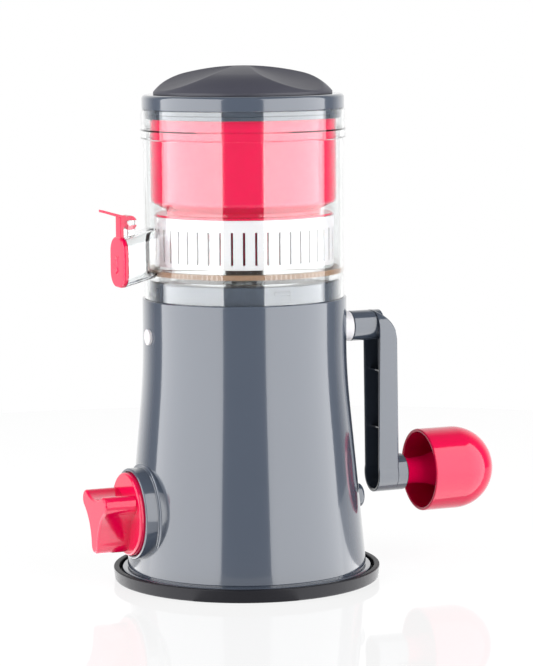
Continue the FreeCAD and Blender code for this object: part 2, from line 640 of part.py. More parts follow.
cone_length = root(cone_run * cone_run + cone_rise * cone_rise)
post_place = S.post_circle / math.sqrt(2.0)
arm_head_height = S.axle_height + S.arm_boss_radius + S.arm_head_step - S.arm_head_radius
arm_top = arm_head_height + S.arm_head_radius
spout_half_width = S.spout_width / 2
spout_half_depth = S.spout_depth / 2


# ---------------------------------------------------------------- foot


def suction_cup():
    """Rubber cup: lip around the foot, tongue inside it, membrane and hub over the hollow."""
    body = new_body("suction_cup")
    plate_bottom = foot_plate_bottom - S.foot_plate_play
    plate_top_clear = foot_plate_bottom + S.foot_plate_wall + S.foot_plate_play
    revolve(body, [
        (0, S.dome_rise),
        (S.hub_radius - S.hollow_step, S.dome_rise),
        (S.seal_inner, 0),
        (S.lip_radius - S.lip_edge, 0),
        (S.lip_radius, S.lip_edge),
        (S.lip_radius, S.lip_height),
        (S.lip_radius - S.lip_wall, S.lip_height),
        (S.lip_radius - S.lip_wall, S.web_height),
        (tongue_outer, S.web_height),
        (tongue_outer, S.tongue_height),
        (tongue_inner, S.tongue_height),
        (tongue_inner, S.web_height),
        (plate_radius - S.plate_rim - 1, S.web_height),
        (S.hub_radius, S.hub_height - S.hub_side),
        (S.hub_radius, S.hub_height),
        (S.rod_radius + S.foot_plate_play, S.hub_height),
        (S.rod_radius + S.foot_plate_play, plate_top_clear),
        (S.foot_plate_radius + S.foot_plate_play, plate_top_clear),
        (S.foot_plate_radius + S.foot_plate_play, plate_bottom),
        (0, plate_bottom),
    ])
    return body


def base_plate():
    """Plate that closes the foot, with the rim that holds the rubber and the guide of the yoke rod."""
    body = new_body("base_plate")
    revolve(body, [
        (S.rod_radius + S.fit, S.plate_bottom),
        (plate_radius - S.plate_rim, S.plate_bottom),
        (plate_radius - S.plate_rim, S.web_height),
        (plate_radius, S.web_height),
        (plate_radius, plate_top),
        (S.guide_radius, plate_top),
        (S.guide_radius, S.guide_top),
        (S.rod_radius + S.fit, S.guide_top),
    ])
    hole_radius = S.screw_radius + S.plate_hole_play
    hole = disc(new_sketch(body, "XY", S.plate_bottom), hole_radius, post_place, post_place)
    cut = pocket(body, hole, S.plate_wall, "screw_hole")
    pattern(body, [cut], 4, "screw_holes")
    return body


def base_screws():
    """The four screws of the base plate, one solid each."""
    body = new_body("base_screws_master")
    parts.remove(body)
    revolve(body, [
        (0, S.plate_bottom - S.screw_head_height),
        (S.screw_head_radius, S.plate_bottom - S.screw_head_height),
        (S.screw_head_radius, S.plate_bottom),
        (S.screw_radius, S.plate_bottom),
        (S.screw_radius, plate_top + S.screw_reach),
        (0, plate_top + S.screw_reach),
    ])
    doc.recompute()
    copies = []
    for turn in range(4):
        screw = body.Shape.copy()
        screw.translate(FreeCAD.Vector(post_place.value, post_place.value, 0))
        screw.rotate(FreeCAD.Vector(), FreeCAD.Vector(0, 0, 1), 90.0 * turn)
        copies.append(screw)
    group = doc.addObject("Part::Feature", "base_screws")
    group.Label = "base_screws"
    group.Shape = Part.makeCompound(copies)
    group.Placement = FreeCAD.Placement()
    parts.append(group)
    return group


# ---------------------------------------------------------------- housing


def housing():
    """Grey shell: foot flange, cone, cylinder, spigot with its deck, knob collar, bosses and posts."""
    body = new_body("housing")
    bend_x = S.bend_reach * cone_run / cone_length
    bend_z = S.bend_reach * cone_rise / cone_length
    bend = S.bend_reach * (cone_length + cone_rise) / cone_run
    groove_radius = S.foot_radius - S.foot_groove
    deck_bottom = S.deck_height - S.wall
    spigot_bore = S.spigot_radius - S.wall
    revolve(body, [
        (foot_bore, S.web_height),
        (flange_radius, S.web_height),
        (flange_radius, S.flange_top),
        (groove_radius, S.flange_top),
        (groove_radius, S.flange_top + S.foot_groove),
        (S.foot_radius, S.flange_top + S.foot_groove),
        (S.top_radius + bend_x, S.bend_height - bend_z),
        (S.top_radius, S.bend_height + S.bend_reach, -bend),
        (S.top_radius, S.top_height),
        (S.spigot_radius, S.top_height),
        (S.spigot_radius, S.deck_height),
        (S.deck_bush_radius, S.deck_height),
        (S.deck_bush_radius, S.deck_boss_bottom),
        (S.deck_boss_radius, S.deck_boss_bottom),
        (S.deck_boss_radius, deck_bottom),
        (spigot_bore, deck_bottom),
        (spigot_bore, S.top_height - S.wall),
        (S.top_radius - S.wall, S.top_height - S.wall),
        (S.top_radius - S.wall, S.bend_height),
    ])
    collar = disc(new_sketch(body, "YZ", -S.collar_reach), S.collar_radius, 0, S.shaft_height)
    pad(body, collar, S.collar_reach - S.collar_root, "collar")
    flange = disc(new_sketch(body, "YZ", -S.collar_base_reach), S.collar_base_radius, 0, S.shaft_height)
    pad(body, flange, S.collar_base_reach - S.collar_root, "collar_flange")
    inner = disc(new_sketch(body, "YZ", -S.collar_reach), S.collar_radius - S.collar_wall, 0, S.shaft_height)
    pocket(body, inner, S.collar_reach - S.collar_floor, "collar_hollow")
    clear_radius = plate_radius + 1
    clear_top = plate_top + S.gap
    revolve(body, [(0, S.web_height), (clear_radius, S.web_height), (clear_radius, clear_top), (0, clear_top)],
            "plate_space", "Groove")
    wall_there = S.foot_radius - cone_run * (S.shaft_height + S.shaft_boss_radius - S.flange_top) / cone_rise
    boss = disc(new_sketch(body, "YZ", S.shaft_boss_inner), S.shaft_boss_radius, 0, S.shaft_height)
    pad(body, boss, wall_there - S.boss_cover - S.shaft_boss_inner, "shaft_boss")
    bore = disc(new_sketch(body, "YZ", -S.collar_reach), S.suction_shaft_radius + S.fit, 0, S.shaft_height)
    pocket(body, bore, S.collar_reach * 2, "shaft_bore")
    boss = disc(new_sketch(body, "YZ", S.axle_boss_inner), S.bush_boss_radius, 0, S.axle_height)
    pad(body, boss, S.axle_boss_outer - S.axle_boss_inner, "bush_boss")
    boss = disc(new_sketch(body, "YZ", -S.axle_boss_outer), S.axle_boss_radius, 0, S.axle_height)
    pad(body, boss, S.axle_boss_outer - S.axle_boss_inner, "axle_boss")
    bore = disc(new_sketch(body, "YZ", S.axle_boss_inner - 1), S.bush_radius, 0, S.axle_height)
    pocket(body, bore, S.top_radius - S.axle_boss_inner + 2, "bush_bore")
    bore = disc(new_sketch(body, "YZ", -S.top_radius - 1), S.axle_radius + S.fit, 0, S.axle_height)
    pocket(body, bore, S.top_radius - S.axle_boss_inner + 2, "axle_bore")
    post = disc(new_sketch(body, "XY", plate_top), S.post_radius, post_place, post_place)
    post = pad(body, post, S.post_top - plate_top, "post")
    pattern(body, [post], 4, "posts")
    pilot = disc(new_sketch(body, "XY", plate_top), S.screw_radius, post_place, post_place)
    pilot = pocket(body, pilot, S.screw_reach + S.pilot_spare, "pilot")
    pattern(body, [pilot], 4, "pilots")
    lug = rectangle(new_sketch(body, "XY", S.lug_bottom), S.spigot_radius - 1, -S.lug_half_width,
                    S.spigot_radius + S.lug_reach, S.lug_half_width)
    lug = pad(body, lug, S.lug_height, "lug")
    pattern(body, [lug], 4, "lugs")
    return body


# ---------------------------------------------------------------- suction drive


def lift_yoke():
    """Rod with the disc that is moulded into the rubber and the window that the cam turns in."""
    body = new_body("lift_yoke")
    frame_half = window_half + S.yoke_wall
    revolve(body, [
        (0, foot_plate_bottom),
        (S.foot_plate_radius, foot_plate_bottom),
        (S.foot_plate_radius, foot_plate_bottom + S.foot_plate_wall),
        (S.rod_radius, foot_plate_bottom + S.foot_plate_wall),
        (S.rod_radius, window_middle - frame_half + 1),
        (0, window_middle - frame_half + 1),
    ])
    frame = round_rectangle(new_sketch(body, "YZ"), as_size(0), window_middle,
                            window_side + S.yoke_wall, frame_half, S.yoke_wall)
    pad(body, frame, S.cam_wall, "frame", both=True)
    window = rectangle(new_sketch(body, "YZ"), -window_side, window_middle - window_half,
                       window_side, window_middle + window_half)
    pocket(body, window, S.cam_wall * 2, "window", both=True)
    return body


def suction_cam():
    """Eccentric disc and hub on the suction shaft; its throw points down and outwards at rest."""
    body = new_body("suction_cam", "X", z=S.shaft_height)
    shift = cam_throw / math.sqrt(2.0)
    sheave = disc(new_sketch(body, "XY", -S.cam_wall / 2), S.cam_radius, shift, shift)
    pad(body, sheave, S.cam_wall, "sheave")
    hub = disc(new_sketch(body, "XY", S.cam_wall / 2), S.cam_hub_radius)
    pad(body, hub, S.cam_hub_end - S.cam_wall / 2, "hub")
    bore = disc(new_sketch(body, "XY"), S.suction_shaft_radius)
    pocket(body, bore, S.cam_hub_end * 2 + 2, "bore", both=True)
    pin_place = (S.cam_hub_end + S.cam_wall / 2) / 2
    hole = disc(new_sketch(body, "YZ"), S.pin_radius, 0, pin_place)
    pocket(body, hole, S.cam_hub_radius * 2 + 2, "pin_hole", both=True)
    return body


def cross_pin(label, height, place, length):
    """A round pin across a shaft that lies along X: upright, through (place, 0, height)."""
    body = new_body(label, x=place, z=height)
    shape = disc(new_sketch(body, "XY"), S.pin_radius)
    pad(body, shape, length, "pin", both=True)
    return body


def suction_shaft():
    """Steel shaft from the knob to the cap on the other side, drilled for the cam pin."""
    body = new_body("suction_shaft", "X", z=S.shaft_height)
    inner_end = S.knob_front - S.knob_web
    revolve(body, [
        (0, -inner_end),
        (S.suction_shaft_radius, -inner_end),
        (S.suction_shaft_radius, S.end_cap_front - S.wall),
        (0, S.end_cap_front - S.wall),
    ])
    pin_place = (S.cam_hub_end + S.cam_wall / 2) / 2
    hole = disc(new_sketch(body, "YZ"), S.pin_radius, 0, pin_place)
    pocket(body, hole, S.suction_shaft_radius * 2 + 2, "pin_hole", both=True)
    tapped = disc(new_sketch(body, "XY", -inner_end), S.screw_radius)
    pocket(body, tapped, S.screw_reach, "screw_hole")
    return body


def suction_knob():
    """Red knob: round flange in the collar and a grip of three lobes with scoops between them."""
    body = new_body("suction_knob", "X", z=S.shaft_height)
    flange_inner = S.collar_floor + S.gap
    flange = disc(new_sketch(body, "XY", -S.knob_disc_front), S.knob_disc_radius)
    pad(body, flange, S.knob_disc_front - flange_inner, "flange")
    end, floor, circle = S.lobe_radius, S.scoop_floor, S.lobe_circle
    scoop = (circle * circle + floor * floor - circle * floor - end * end) / (circle + 2 * end - 2 * floor)
    scoop_circle = scoop + floor
    share = end / (scoop + end)
    corners = []
    for lobe in range(3):
        for side in (-1, 1):
            # The body's +X points down, so the lowest lobe lies at angle 0.
            lobe_angle = math.radians(120.0 * lobe)
            scoop_angle = math.radians(120.0 * lobe + 60.0 * side)
            x = circle * math.cos(lobe_angle) * (1 - share) + scoop_circle * math.cos(scoop_angle) * share
            y = circle * math.sin(lobe_angle) * (1 - share) + scoop_circle * math.sin(scoop_angle) * share
            corners.append((x, y, -scoop if side < 0 else end))
    grip = outline(new_sketch(body, "XY", -S.knob_front), corners)
    pad(body, grip, S.knob_front - S.knob_disc_front + 1, "grip")
    bore = disc(new_sketch(body, "XY", -S.knob_front + S.knob_web), S.suction_shaft_radius)
    pocket(body, bore, S.knob_front - S.knob_web, "bore")
    recess = disc(new_sketch(body, "XY", -S.knob_front), S.knob_cap_radius)
    pocket(body, recess, S.knob_cap_wall, "cap_recess")
    head_bore = disc(new_sketch(body, "XY", -S.knob_front), S.screw_head_radius + S.knob_head_play)
    pocket(body, head_bore, S.knob_cap_wall + S.knob_seat, "head_bore")
    screw_bore = disc(new_sketch(body, "XY", -S.knob_front), S.screw_radius + S.screw_play)
    pocket(body, screw_bore, S.knob_screw_bore, "screw_bore")
    return body


def knob_screw():
    body = new_body("knob_screw", "X", z=S.shaft_height)
    seat = -S.knob_front + S.knob_cap_wall + S.knob_seat
    revolve(body, [
        (0, seat - S.screw_head_height),
        (S.screw_head_radius, seat - S.screw_head_height),
        (S.screw_head_radius, seat),
        (S.screw_radius, seat),
        (S.screw_radius, -S.knob_front + S.knob_web + S.screw_reach - S.pilot_spare),
        (0, -S.knob_front + S.knob_web + S.screw_reach - S.pilot_spare),
    ])
    return body


def knob_cap():
    return ring("knob_cap", 0, S.knob_cap_radius, -S.knob_front, -S.knob_front + S.knob_cap_wall,
                "X", z=S.shaft_height)


def shaft_end_cap():
    """Grey cap on the far end of the suction shaft, with a rounded outer edge."""
    body = new_body("shaft_end_cap", "X", z=S.shaft_height)
    wall_there = S.foot_radius - cone_run * (S.shaft_height - S.end_cap_radius - S.flange_top) / cone_rise
    edge = S.wall
    revolve(body, [
        (S.suction_shaft_radius, wall_there + S.gap),
        (S.end_cap_radius, wall_there + S.gap),
        (S.end_cap_radius, S.end_cap_front - edge),
        (S.end_cap_radius - edge, S.end_cap_front, edge),
        (0, S.end_cap_front),
        (0, S.end_cap_front - S.wall),
        (S.suction_shaft_radius, S.end_cap_front - S.wall),
    ])
    return body


# ---------------------------------------------------------------- crank


def crank_axle():
    """White axle through the housing, with a square end in the crank arm."""
    body = new_body("crank_axle", "X", z=S.axle_height)
    revolve(body, [
        (0, -S.axle_left),
        (S.axle_radius, -S.axle_left),
        (S.axle_radius, S.arm_boss_start),
        (0, S.arm_boss_start),
    ])
    half = S.axle_square / 2
    square = rectangle(new_sketch(body, "XY", S.arm_boss_start), -half, -half, half, half)
    pad(body, square, S.arm_inner - S.arm_boss_start + S.square_reach, "square")
    hole = disc(new_sketch(body, "YZ"), S.pin_radius, 0, pinion_pin_place)
    pocket(body, hole, S.axle_radius * 2 + 2, "pin_hole", both=True)
    tapped = disc(new_sketch(body, "XY", S.arm_inner + S.square_reach - S.screw_reach), S.screw_radius)
    pocket(body, tapped, S.screw_reach + 1, "screw_hole")
    return body


def axle_bush():
    """White bush in the right boss; its flange keeps the crank off the wall."""
    body = new_body("axle_bush", "X", z=S.axle_height)
    revolve(body, [
        (S.axle_radius + S.fit, S.axle_boss_inner),
        (S.bush_radius, S.axle_boss_inner),
        (S.bush_radius, S.bush_flange_inner),
        (S.bush_flange_radius, S.bush_flange_inner),
        (S.bush_flange_radius, S.arm_boss_start - S.gap),
        (S.axle_radius + S.fit, S.arm_boss_start - S.gap),
    ])
    return body


def crank_arm():
    """Grey U channel, open towards the housing, with two ribs, the axle boss and the knob boss."""
    body = new_body("crank_arm")
    foot_bottom = S.grip_height - S.arm_foot_radius
    neck, foot = S.arm_neck_half, S.arm_foot_radius
    foot_y = root(foot * foot - neck * neck)
    shell = outline(new_sketch(body, "YZ", S.arm_inner), [
        (S.arm_head_radius, arm_head_height),
        (0, arm_head_height + S.arm_head_radius, S.arm_head_radius),
        (-S.arm_head_radius, arm_head_height, S.arm_head_radius),
        (-neck, S.grip_height + foot_y),
        (0, foot_bottom, foot),
        (neck, S.grip_height + foot_y, foot),
    ])
    pad(body, shell, S.arm_outer_foot - S.arm_inner, "shell")
    boss = disc(new_sketch(body, "YZ", S.arm_boss_start), S.arm_boss_radius, 0, S.axle_height)
    pad(body, boss, S.arm_inner + S.head_seat - S.arm_boss_start, "axle_boss")
    turn = S.arm_head_turn
    reach = S.arm_outer_top - turn
    rise = arm_top - S.arm_head_turn_start
    head_x = reach + root(turn * turn - rise * rise)
    trim = outline(new_sketch(body, "XZ"), [
        (S.arm_outer_foot, foot_bottom - 1),
        (S.arm_outer_foot + S.arm_spare, foot_bottom - 1),
        (S.arm_outer_foot + S.arm_spare, arm_top + 1),
        (head_x, arm_top + 1),
        (head_x, arm_top),
        (S.arm_outer_top, S.arm_head_turn_start, -turn),
    ])
    pocket(body, trim, S.arm_head_radius * 3, "trim", both=True)
    cavity_half = neck - S.arm_wall
    cavity_top = S.arm_head_radius - S.arm_wall
    cavity_foot = S.arm_foot_radius - S.arm_wall
    cavity_y = root(cavity_foot * cavity_foot - cavity_half * cavity_half)
    cavity = outline(new_sketch(body, "YZ", S.arm_inner), [
        (cavity_top, S.arm_cavity_top),
        (-cavity_top, S.arm_cavity_top),
        (-cavity_half, S.grip_height + cavity_y),
        (0, S.grip_height - cavity_foot, cavity_foot),
        (cavity_half, S.grip_height + cavity_y, cavity_foot),
    ])
    pocket(body, cavity, S.arm_cavity_depth, "hollow")
    for name, height in (("upper", S.rib_upper), ("lower", S.rib_lower)):
        climb = (height - S.grip_height) / (S.arm_cavity_top - S.grip_height)
        rib_half = cavity_half + (cavity_top - cavity_half) * climb + S.arm_wall / 3
        rib = rectangle(new_sketch(body, "YZ", S.arm_inner + S.rib_recess), -rib_half, height,
                        rib_half, height + S.rib_wall)
        pad(body, rib, S.arm_cavity_depth - S.rib_recess + S.rib_root, f"rib_{name}")
    foot_boss = disc(new_sketch(body, "YZ", S.arm_inner + S.arm_cavity_depth), foot, 0, S.grip_height)
    pad(body, foot_boss, S.arm_foot_end - S.arm_inner - S.arm_cavity_depth, "knob_boss")
    foot_hollow = disc(new_sketch(body, "YZ", S.arm_inner), cavity_foot, 0, S.grip_height)
    pocket(body, foot_hollow, S.arm_foot_end - S.grip_web - S.arm_inner, "knob_boss_hollow")
    foot_bore = disc(new_sketch(body, "YZ", S.arm_inner), S.grip_axle_radius, 0, S.grip_height)
    pocket(body, foot_bore, S.arm_foot_end - S.arm_inner + 1, "knob_bore")
    half = S.axle_square / 2
    square = rectangle(new_sketch(body, "YZ", S.arm_boss_start), -half, S.axle_height - half, half,
                       S.axle_height + half)
    pocket(body, square, S.arm_inner - S.arm_boss_start + S.square_reach, "square_socket")
    screw_bore = disc(new_sketch(body, "YZ", S.arm_inner), S.screw_radius + S.screw_play, 0, S.axle_height)
    pocket(body, screw_bore, S.arm_depth_foot + S.arm_spare, "screw_bore")
    head_bore = disc(new_sketch(body, "YZ", S.arm_inner + S.head_seat), S.screw_head_radius + S.head_play,
                    0, S.axle_height)
    pocket(body, head_bore, S.arm_depth_foot, "head_bore")
    return body


def crank_screw():
    """Screw that holds the arm on the axle, sunk in the head of the arm."""
    body = new_body("crank_screw", "X", z=S.axle_height)
    seat = S.arm_inner + S.head_seat
    revolve(body, [
        (0, seat - S.screw_reach + S.pilot_spare),
        (S.screw_radius, seat - S.screw_reach + S.pilot_spare),
        (S.screw_radius, seat),
        (S.screw_head_radius, seat),
        (S.screw_head_radius, seat + S.screw_head_height),
        (0, seat + S.screw_head_height),
    ])
    return body


def grip_axle():
    """Steel pin pressed into the arm, on which the crank knob spins."""
    body = new_body("grip_axle", "X", z=S.grip_height)
    seat = S.arm_foot_end - S.grip_web
    revolve(body, [
        (0, seat - S.grip_axle_head),
        (S.grip_axle_head_radius, seat - S.grip_axle_head),
        (S.grip_axle_head_radius, seat),
        (S.grip_axle_radius, seat),
        (S.grip_axle_radius, S.grip_axle_end),
        (0, S.grip_axle_end),
    ])
    return body


def crank_knob():
    """Red bell with a trumpet-shaped hub inside."""
    body = new_body("crank_knob", "X", z=S.grip_height)
    shoulder, outer = S.bell_shoulder, S.bell_radius
    inner = S.bell_radius - S.bell_wall
    bore = S.grip_axle_radius + S.fit
    flare_radius = S.grip_waist_radius + S.flare_spread
    flare_run = S.grip_flare_end - S.grip_waist
    flare_turn = (flare_run * flare_run + S.flare_spread * S.flare_spread) / (S.flare_spread * 2)
    dome_meet = root(inner * inner - flare_radius * flare_radius)
    revolve(body, [
        (bore, S.grip_hub_start),
        (S.grip_hub_radius, S.grip_hub_start),
        (S.grip_waist_radius, S.grip_waist),
        (flare_radius, S.grip_flare_end, -flare_turn),
        (flare_radius, shoulder + dome_meet),
        (inner, shoulder, -inner),
        (inner, S.bell_rim),
        (outer, S.bell_rim),
        (outer, shoulder),
        (0, shoulder + outer, outer),
        (0, S.grip_axle_end + S.gap),
        (bore, S.grip_axle_end + S.gap),
    ])
    return body


# ---------------------------------------------------------------- bevel gears


def bevel_points(axial, radial, depth):
    """Place on the outer end of a tooth, depth outwards from the pitch line, as (along, out)."""
    length = math.hypot(axial, radial)
    return axial - depth * radial / length, radial + depth * axial / length


def bevel_tooth(axial, radial, half, scale, turn):
    """One straight bevel tooth about +Z with the pitch cone's apex at the origin."""
    addendum, dedendum = S.tooth_addendum.value, S.tooth_dedendum.value
    slope = math.tan(math.radians(S.tooth_flank_angle.value))
    outer = []
    for depth in (-dedendum, addendum):
        along, out = bevel_points(axial, radial, depth)
        side = half - depth * slope
        outer += [FreeCAD.Vector(out, -side, along), FreeCAD.Vector(out, side, along)]
    inner = [point * scale for point in outer]
    quads = [
        [outer[0], outer[1], outer[3], outer[2]],
        [inner[0], inner[2], inner[3], inner[1]],
        [outer[0], outer[2], inner[2], inner[0]],
        [outer[1], inner[1], inner[3], outer[3]],
        [outer[2], outer[3], inner[3], inner[2]],
        [outer[0], inner[0], inner[1], outer[1]],
    ]
    faces = [Part.Face(Part.makePolygon(quad + [quad[0]])) for quad in quads]
    tooth = Part.makeSolid(Part.makeShell(faces))
    if tooth.Volume < 0:
        tooth.reverse()
    tooth.rotate(FreeCAD.Vector(), FreeCAD.Vector(0, 0, 1), turn)
    return tooth


def turned_solid(corners):
    """Solid of revolution about +Z from (radius, height) corners."""
    points = [FreeCAD.Vector(radius, 0, height) for radius, height in corners]
    face = Part.Face(Part.makePolygon(points + [points[0]]))
    return face.revolve(FreeCAD.Vector(), FreeCAD.Vector(0, 0, 1), 360)


def bevel_gear(label, axial, radial, teeth, blank, placement):
    """A bevel gear: straight teeth on a turned blank."""
    scale = S.tooth_scale.value
    step = 360.0 / teeth
    solids = [bevel_tooth(axial, radial, S.tooth_half.value, scale, step * n) for n in range(teeth)]
    gear = turned_solid(blank).fuse(solids).removeSplitter()
    item = doc.addObject("Part::Feature", label)
    item.Label = label
    item.Shape = gear
    item.Placement = placement
    parts.append(item)
    return item


def bevel_pinion():
    """Pinion on the crank axle, its teeth facing the axis of the juicer."""
    axial, radial = S.apex_reach.value, S.pinion_pitch.value
    root_along, root_out = bevel_points(axial, radial, -S.tooth_root.value)
    start, end = S.tooth_scale.value - S.blank_spare.value, 1 + S.blank_spare.value
    hub_end = S.axle_boss_inner.value - S.gap.value
    blank = [
        (S.axle_radius.value, root_along * start),
        (root_out * start, root_along * start),
        (root_out * end, root_along * end),
        (S.pinion_hub_radius.value, root_along * end + S.pinion_shoulder.value),
        (S.pinion_hub_radius.value, hub_end),
        (S.axle_radius.value, hub_end),
    ]
    half_tooth = 180.0 / S.pinion_teeth.value
    spin = FreeCAD.Rotation(FreeCAD.Vector(0, 0, 1), half_tooth)
    lay = FreeCAD.Rotation(FreeCAD.Vector(0, 1, 0), 90)
    place = FreeCAD.Placement(FreeCAD.Vector(0, 0, S.axle_height.value), lay * spin)
    item = bevel_gear("bevel_pinion", axial, radial, int(S.pinion_teeth.value), blank, FreeCAD.Placement())
    drill = Part.makeCylinder(S.pin_radius.value, 60, FreeCAD.Vector(0, 0, -30))
    drill.rotate(FreeCAD.Vector(), FreeCAD.Vector(0, 1, 0), 90)
    drill.rotate(FreeCAD.Vector(), FreeCAD.Vector(0, 0, 1), -half_tooth)
    drill.translate(FreeCAD.Vector(0, 0, pinion_pin_place.value))
    item.Shape = item.Shape.cut(drill)
    item.Placement = place
    return item


def bevel_wheel():
    """Wheel on the drive shaft, its teeth facing down; the apex lies on the crank axis."""
    axial, radial = S.pinion_pitch.value, S.apex_reach.value
    root_along, root_out = bevel_points(axial, radial, -S.tooth_root.value)
    start, end = S.tooth_scale.value - S.blank_spare.value, 1 + S.blank_spare.value
    base = S.axle_height.value
    hub_bottom = S.wheel_hub_bottom.value - base
    back = S.wheel_back.value - base
    pilot = S.drive_radius.value / 2
    blank = [
        (pilot, hub_bottom),
        (S.wheel_hub_radius.value, hub_bottom),
        (root_out * start, root_along * start),
        (root_out * end, root_along * end),
        (root_out * end, back),
        (pilot, back),
    ]
    item = bevel_gear("bevel_wheel", axial, radial, int(S.wheel_teeth.value), blank, FreeCAD.Placement())
    corner = S.drive_flats.value / math.sqrt(3.0)
    points = []
    for turn in range(7):
        angle = math.radians(60.0 * turn)
        points.append(FreeCAD.Vector(corner * math.cos(angle), corner * math.sin(angle), 0))
    socket = Part.Face(Part.makePolygon(points)).extrude(FreeCAD.Vector(0, 0, back * 2))
    item.Shape = item.Shape.cut(socket)
    item.Placement = FreeCAD.Placement(FreeCAD.Vector(0, 0, base), FreeCAD.Rotation())
    return item


def drive_shaft():
    """Steel shaft: hexagon in the wheel, round in the bush and the seal, hexagon in the auger."""
    body = new_body("drive_shaft")
    round_top = S.plateau_top + S.hexagon_start
    revolve(body, [
        (0, S.wheel_back),
        (S.drive_radius, S.wheel_back),
        (S.drive_radius, round_top),
        (0, round_top),
    ])
    lower = hexagon(new_sketch(body, "XY", S.wheel_hub_bottom), S.drive_flats)
    pad(body, lower, S.wheel_back - S.wheel_hub_bottom, "lower_hexagon")
    upper = hexagon(new_sketch(body, "XY", round_top), S.drive_flats)
    pad(body, upper, S.drive_top - round_top, "upper_hexagon")
    neck = disc(new_sketch(body, "XY", S.wheel_hub_bottom - S.clip_wall), S.drive_flats / 2 - S.clip_depth)
    pad(body, neck, S.clip_wall, "clip_groove")
    end = disc(new_sketch(body, "XY", S.wheel_hub_bottom - S.clip_wall - S.shaft_tip), S.drive_flats / 2)
    pad(body, end, S.shaft_tip, "end")
    return body


def drive_rings():
    """Clip under the wheel, white bush in the deck and thrust ring over it."""
    ring("shaft_clip", S.drive_flats / 2 - S.clip_depth, S.clip_radius,
         S.wheel_hub_bottom - S.clip_wall, S.wheel_hub_bottom)
    bush = new_body("deck_bush")
    flange_bottom = S.deck_boss_bottom - S.deck_bush_flange_wall
    revolve(bush, [
        (S.drive_radius + S.fit, flange_bottom),
        (S.deck_bush_flange, flange_bottom),
        (S.deck_bush_flange, S.deck_boss_bottom),
        (S.deck_bush_radius, S.deck_boss_bottom),
        (S.deck_bush_radius, S.deck_height),
        (S.drive_radius + S.fit, S.deck_height),
    ])
    ring("thrust_ring", S.drive_radius, S.thrust_radius, S.deck_height + S.gap,
         S.deck_height + S.gap + S.thrust_wall)


# ---------------------------------------------------------------- bowl and spout


def spout_centre(reach):
    """Height of the middle of the spout at a distance from the axis."""
    slope = (S.spout_root_height - S.spout_end_height) / (S.spout_end - S.spout_root)
    return S.spout_root_height - slope * (as_size(reach) - S.spout_root)


def spout_section(body, reach, inset):
    return round_rectangle(new_sketch(body, "YZ", -as_size(reach)), as_size(0), spout_centre(reach),
                           spout_half_width - inset, spout_half_depth - inset, S.spout_corner - inset)


def bowl():
    """Clear bowl: skirt, floor with juice channel, wall, rim, sloping spout, hinge posts and pin."""
    body = new_body("bowl")
    plateau_bottom = S.plateau_top - S.plateau_wall
    skirt_bore = S.bowl_radius - S.skirt_wall
    hole = S.seal_radius - S.seal_lip
    revolve(body, [
        (skirt_bore, S.skirt_bottom),
        (S.bowl_radius, S.skirt_bottom),
        (S.bowl_radius, S.rim_bottom),
        (S.rim_radius, S.rim_bottom + (S.rim_radius - S.bowl_radius) / 2),
        (S.rim_radius, S.rim_top),
        (S.rim_bore, S.rim_top),
        (S.rim_bore, S.rim_seat),
        (bowl_bore, S.rim_seat - 1),
        (bowl_bore, S.channel_floor),
        (S.strainer_radius, S.channel_floor),
        (S.strainer_radius, S.plateau_top),
        (S.seal_radius, S.plateau_top),
        (S.seal_radius, S.plateau_top - S.seal_height),
        (hole, S.plateau_top - S.seal_height),
        (hole, S.bowl_boss_bottom),
        (S.bowl_boss_radius, S.bowl_boss_bottom),
        (S.bowl_boss_radius, plateau_bottom),
        (S.strainer_radius - S.plateau_wall, plateau_bottom),
        (S.strainer_radius - S.plateau_wall, S.floor_bottom),
        (skirt_bore, S.floor_bottom),
    ])
    outer = feature(body, "AdditiveLoft", spout_section(body, S.spout_root, as_size(0)), "spout")
    outer.Sections = [spout_section(body, S.spout_end, as_size(0))]
    outer.Ruled = True
    bore_start = spout_section(body, S.spout_root - S.spout_bore_depth, S.spout_wall)
    inner = feature(body, "SubtractiveLoft", bore_start, "spout_bore")
    inner.Sections = [spout_section(body, S.spout_end + 1, S.spout_wall)]
    inner.Ruled = True
    catch = rectangle(new_sketch(body, "XY", S.catch_bottom), skirt_bore - S.lug_reach, -S.lug_half_width,
                      skirt_bore + S.skirt_wall / 2, S.lug_half_width)
    catch = pad(body, catch, S.lug_height, "catch")
    pattern(body, [catch], 4, "catches")
    post_inner = S.claw_width / 2 + S.gap
    post_outer = post_inner + S.hinge_post_wall
    post_bottom = spout_centre(S.hinge_reach) + spout_half_depth - S.hinge_post_root
    half_depth = S.hinge_post_depth / 2
    for name, offset in (("front", post_inner), ("rear", -post_outer)):
        post = rectangle(new_sketch(body, "XZ", offset), -S.hinge_reach - half_depth, post_bottom,
                         -S.hinge_reach + half_depth, S.hinge_height + S.hinge_pin_radius)
        pad(body, post, S.hinge_post_wall, f"post_{name}")
    pin = disc(new_sketch(body, "XZ"), S.hinge_pin_radius, -S.hinge_reach, S.hinge_height)
    pad(body, pin, post_outer * 2, "pin", both=True)
    return body


def bowl_rings():
    """Tan ring in the juice channel and the lip seal around the drive shaft."""
    ring("bowl_gasket", S.strainer_radius, bowl_bore, S.channel_floor, S.channel_floor + S.gasket_height)
    ring("shaft_seal", S.drive_radius + S.fit, S.seal_radius, S.plateau_top - S.seal_height, S.plateau_top)


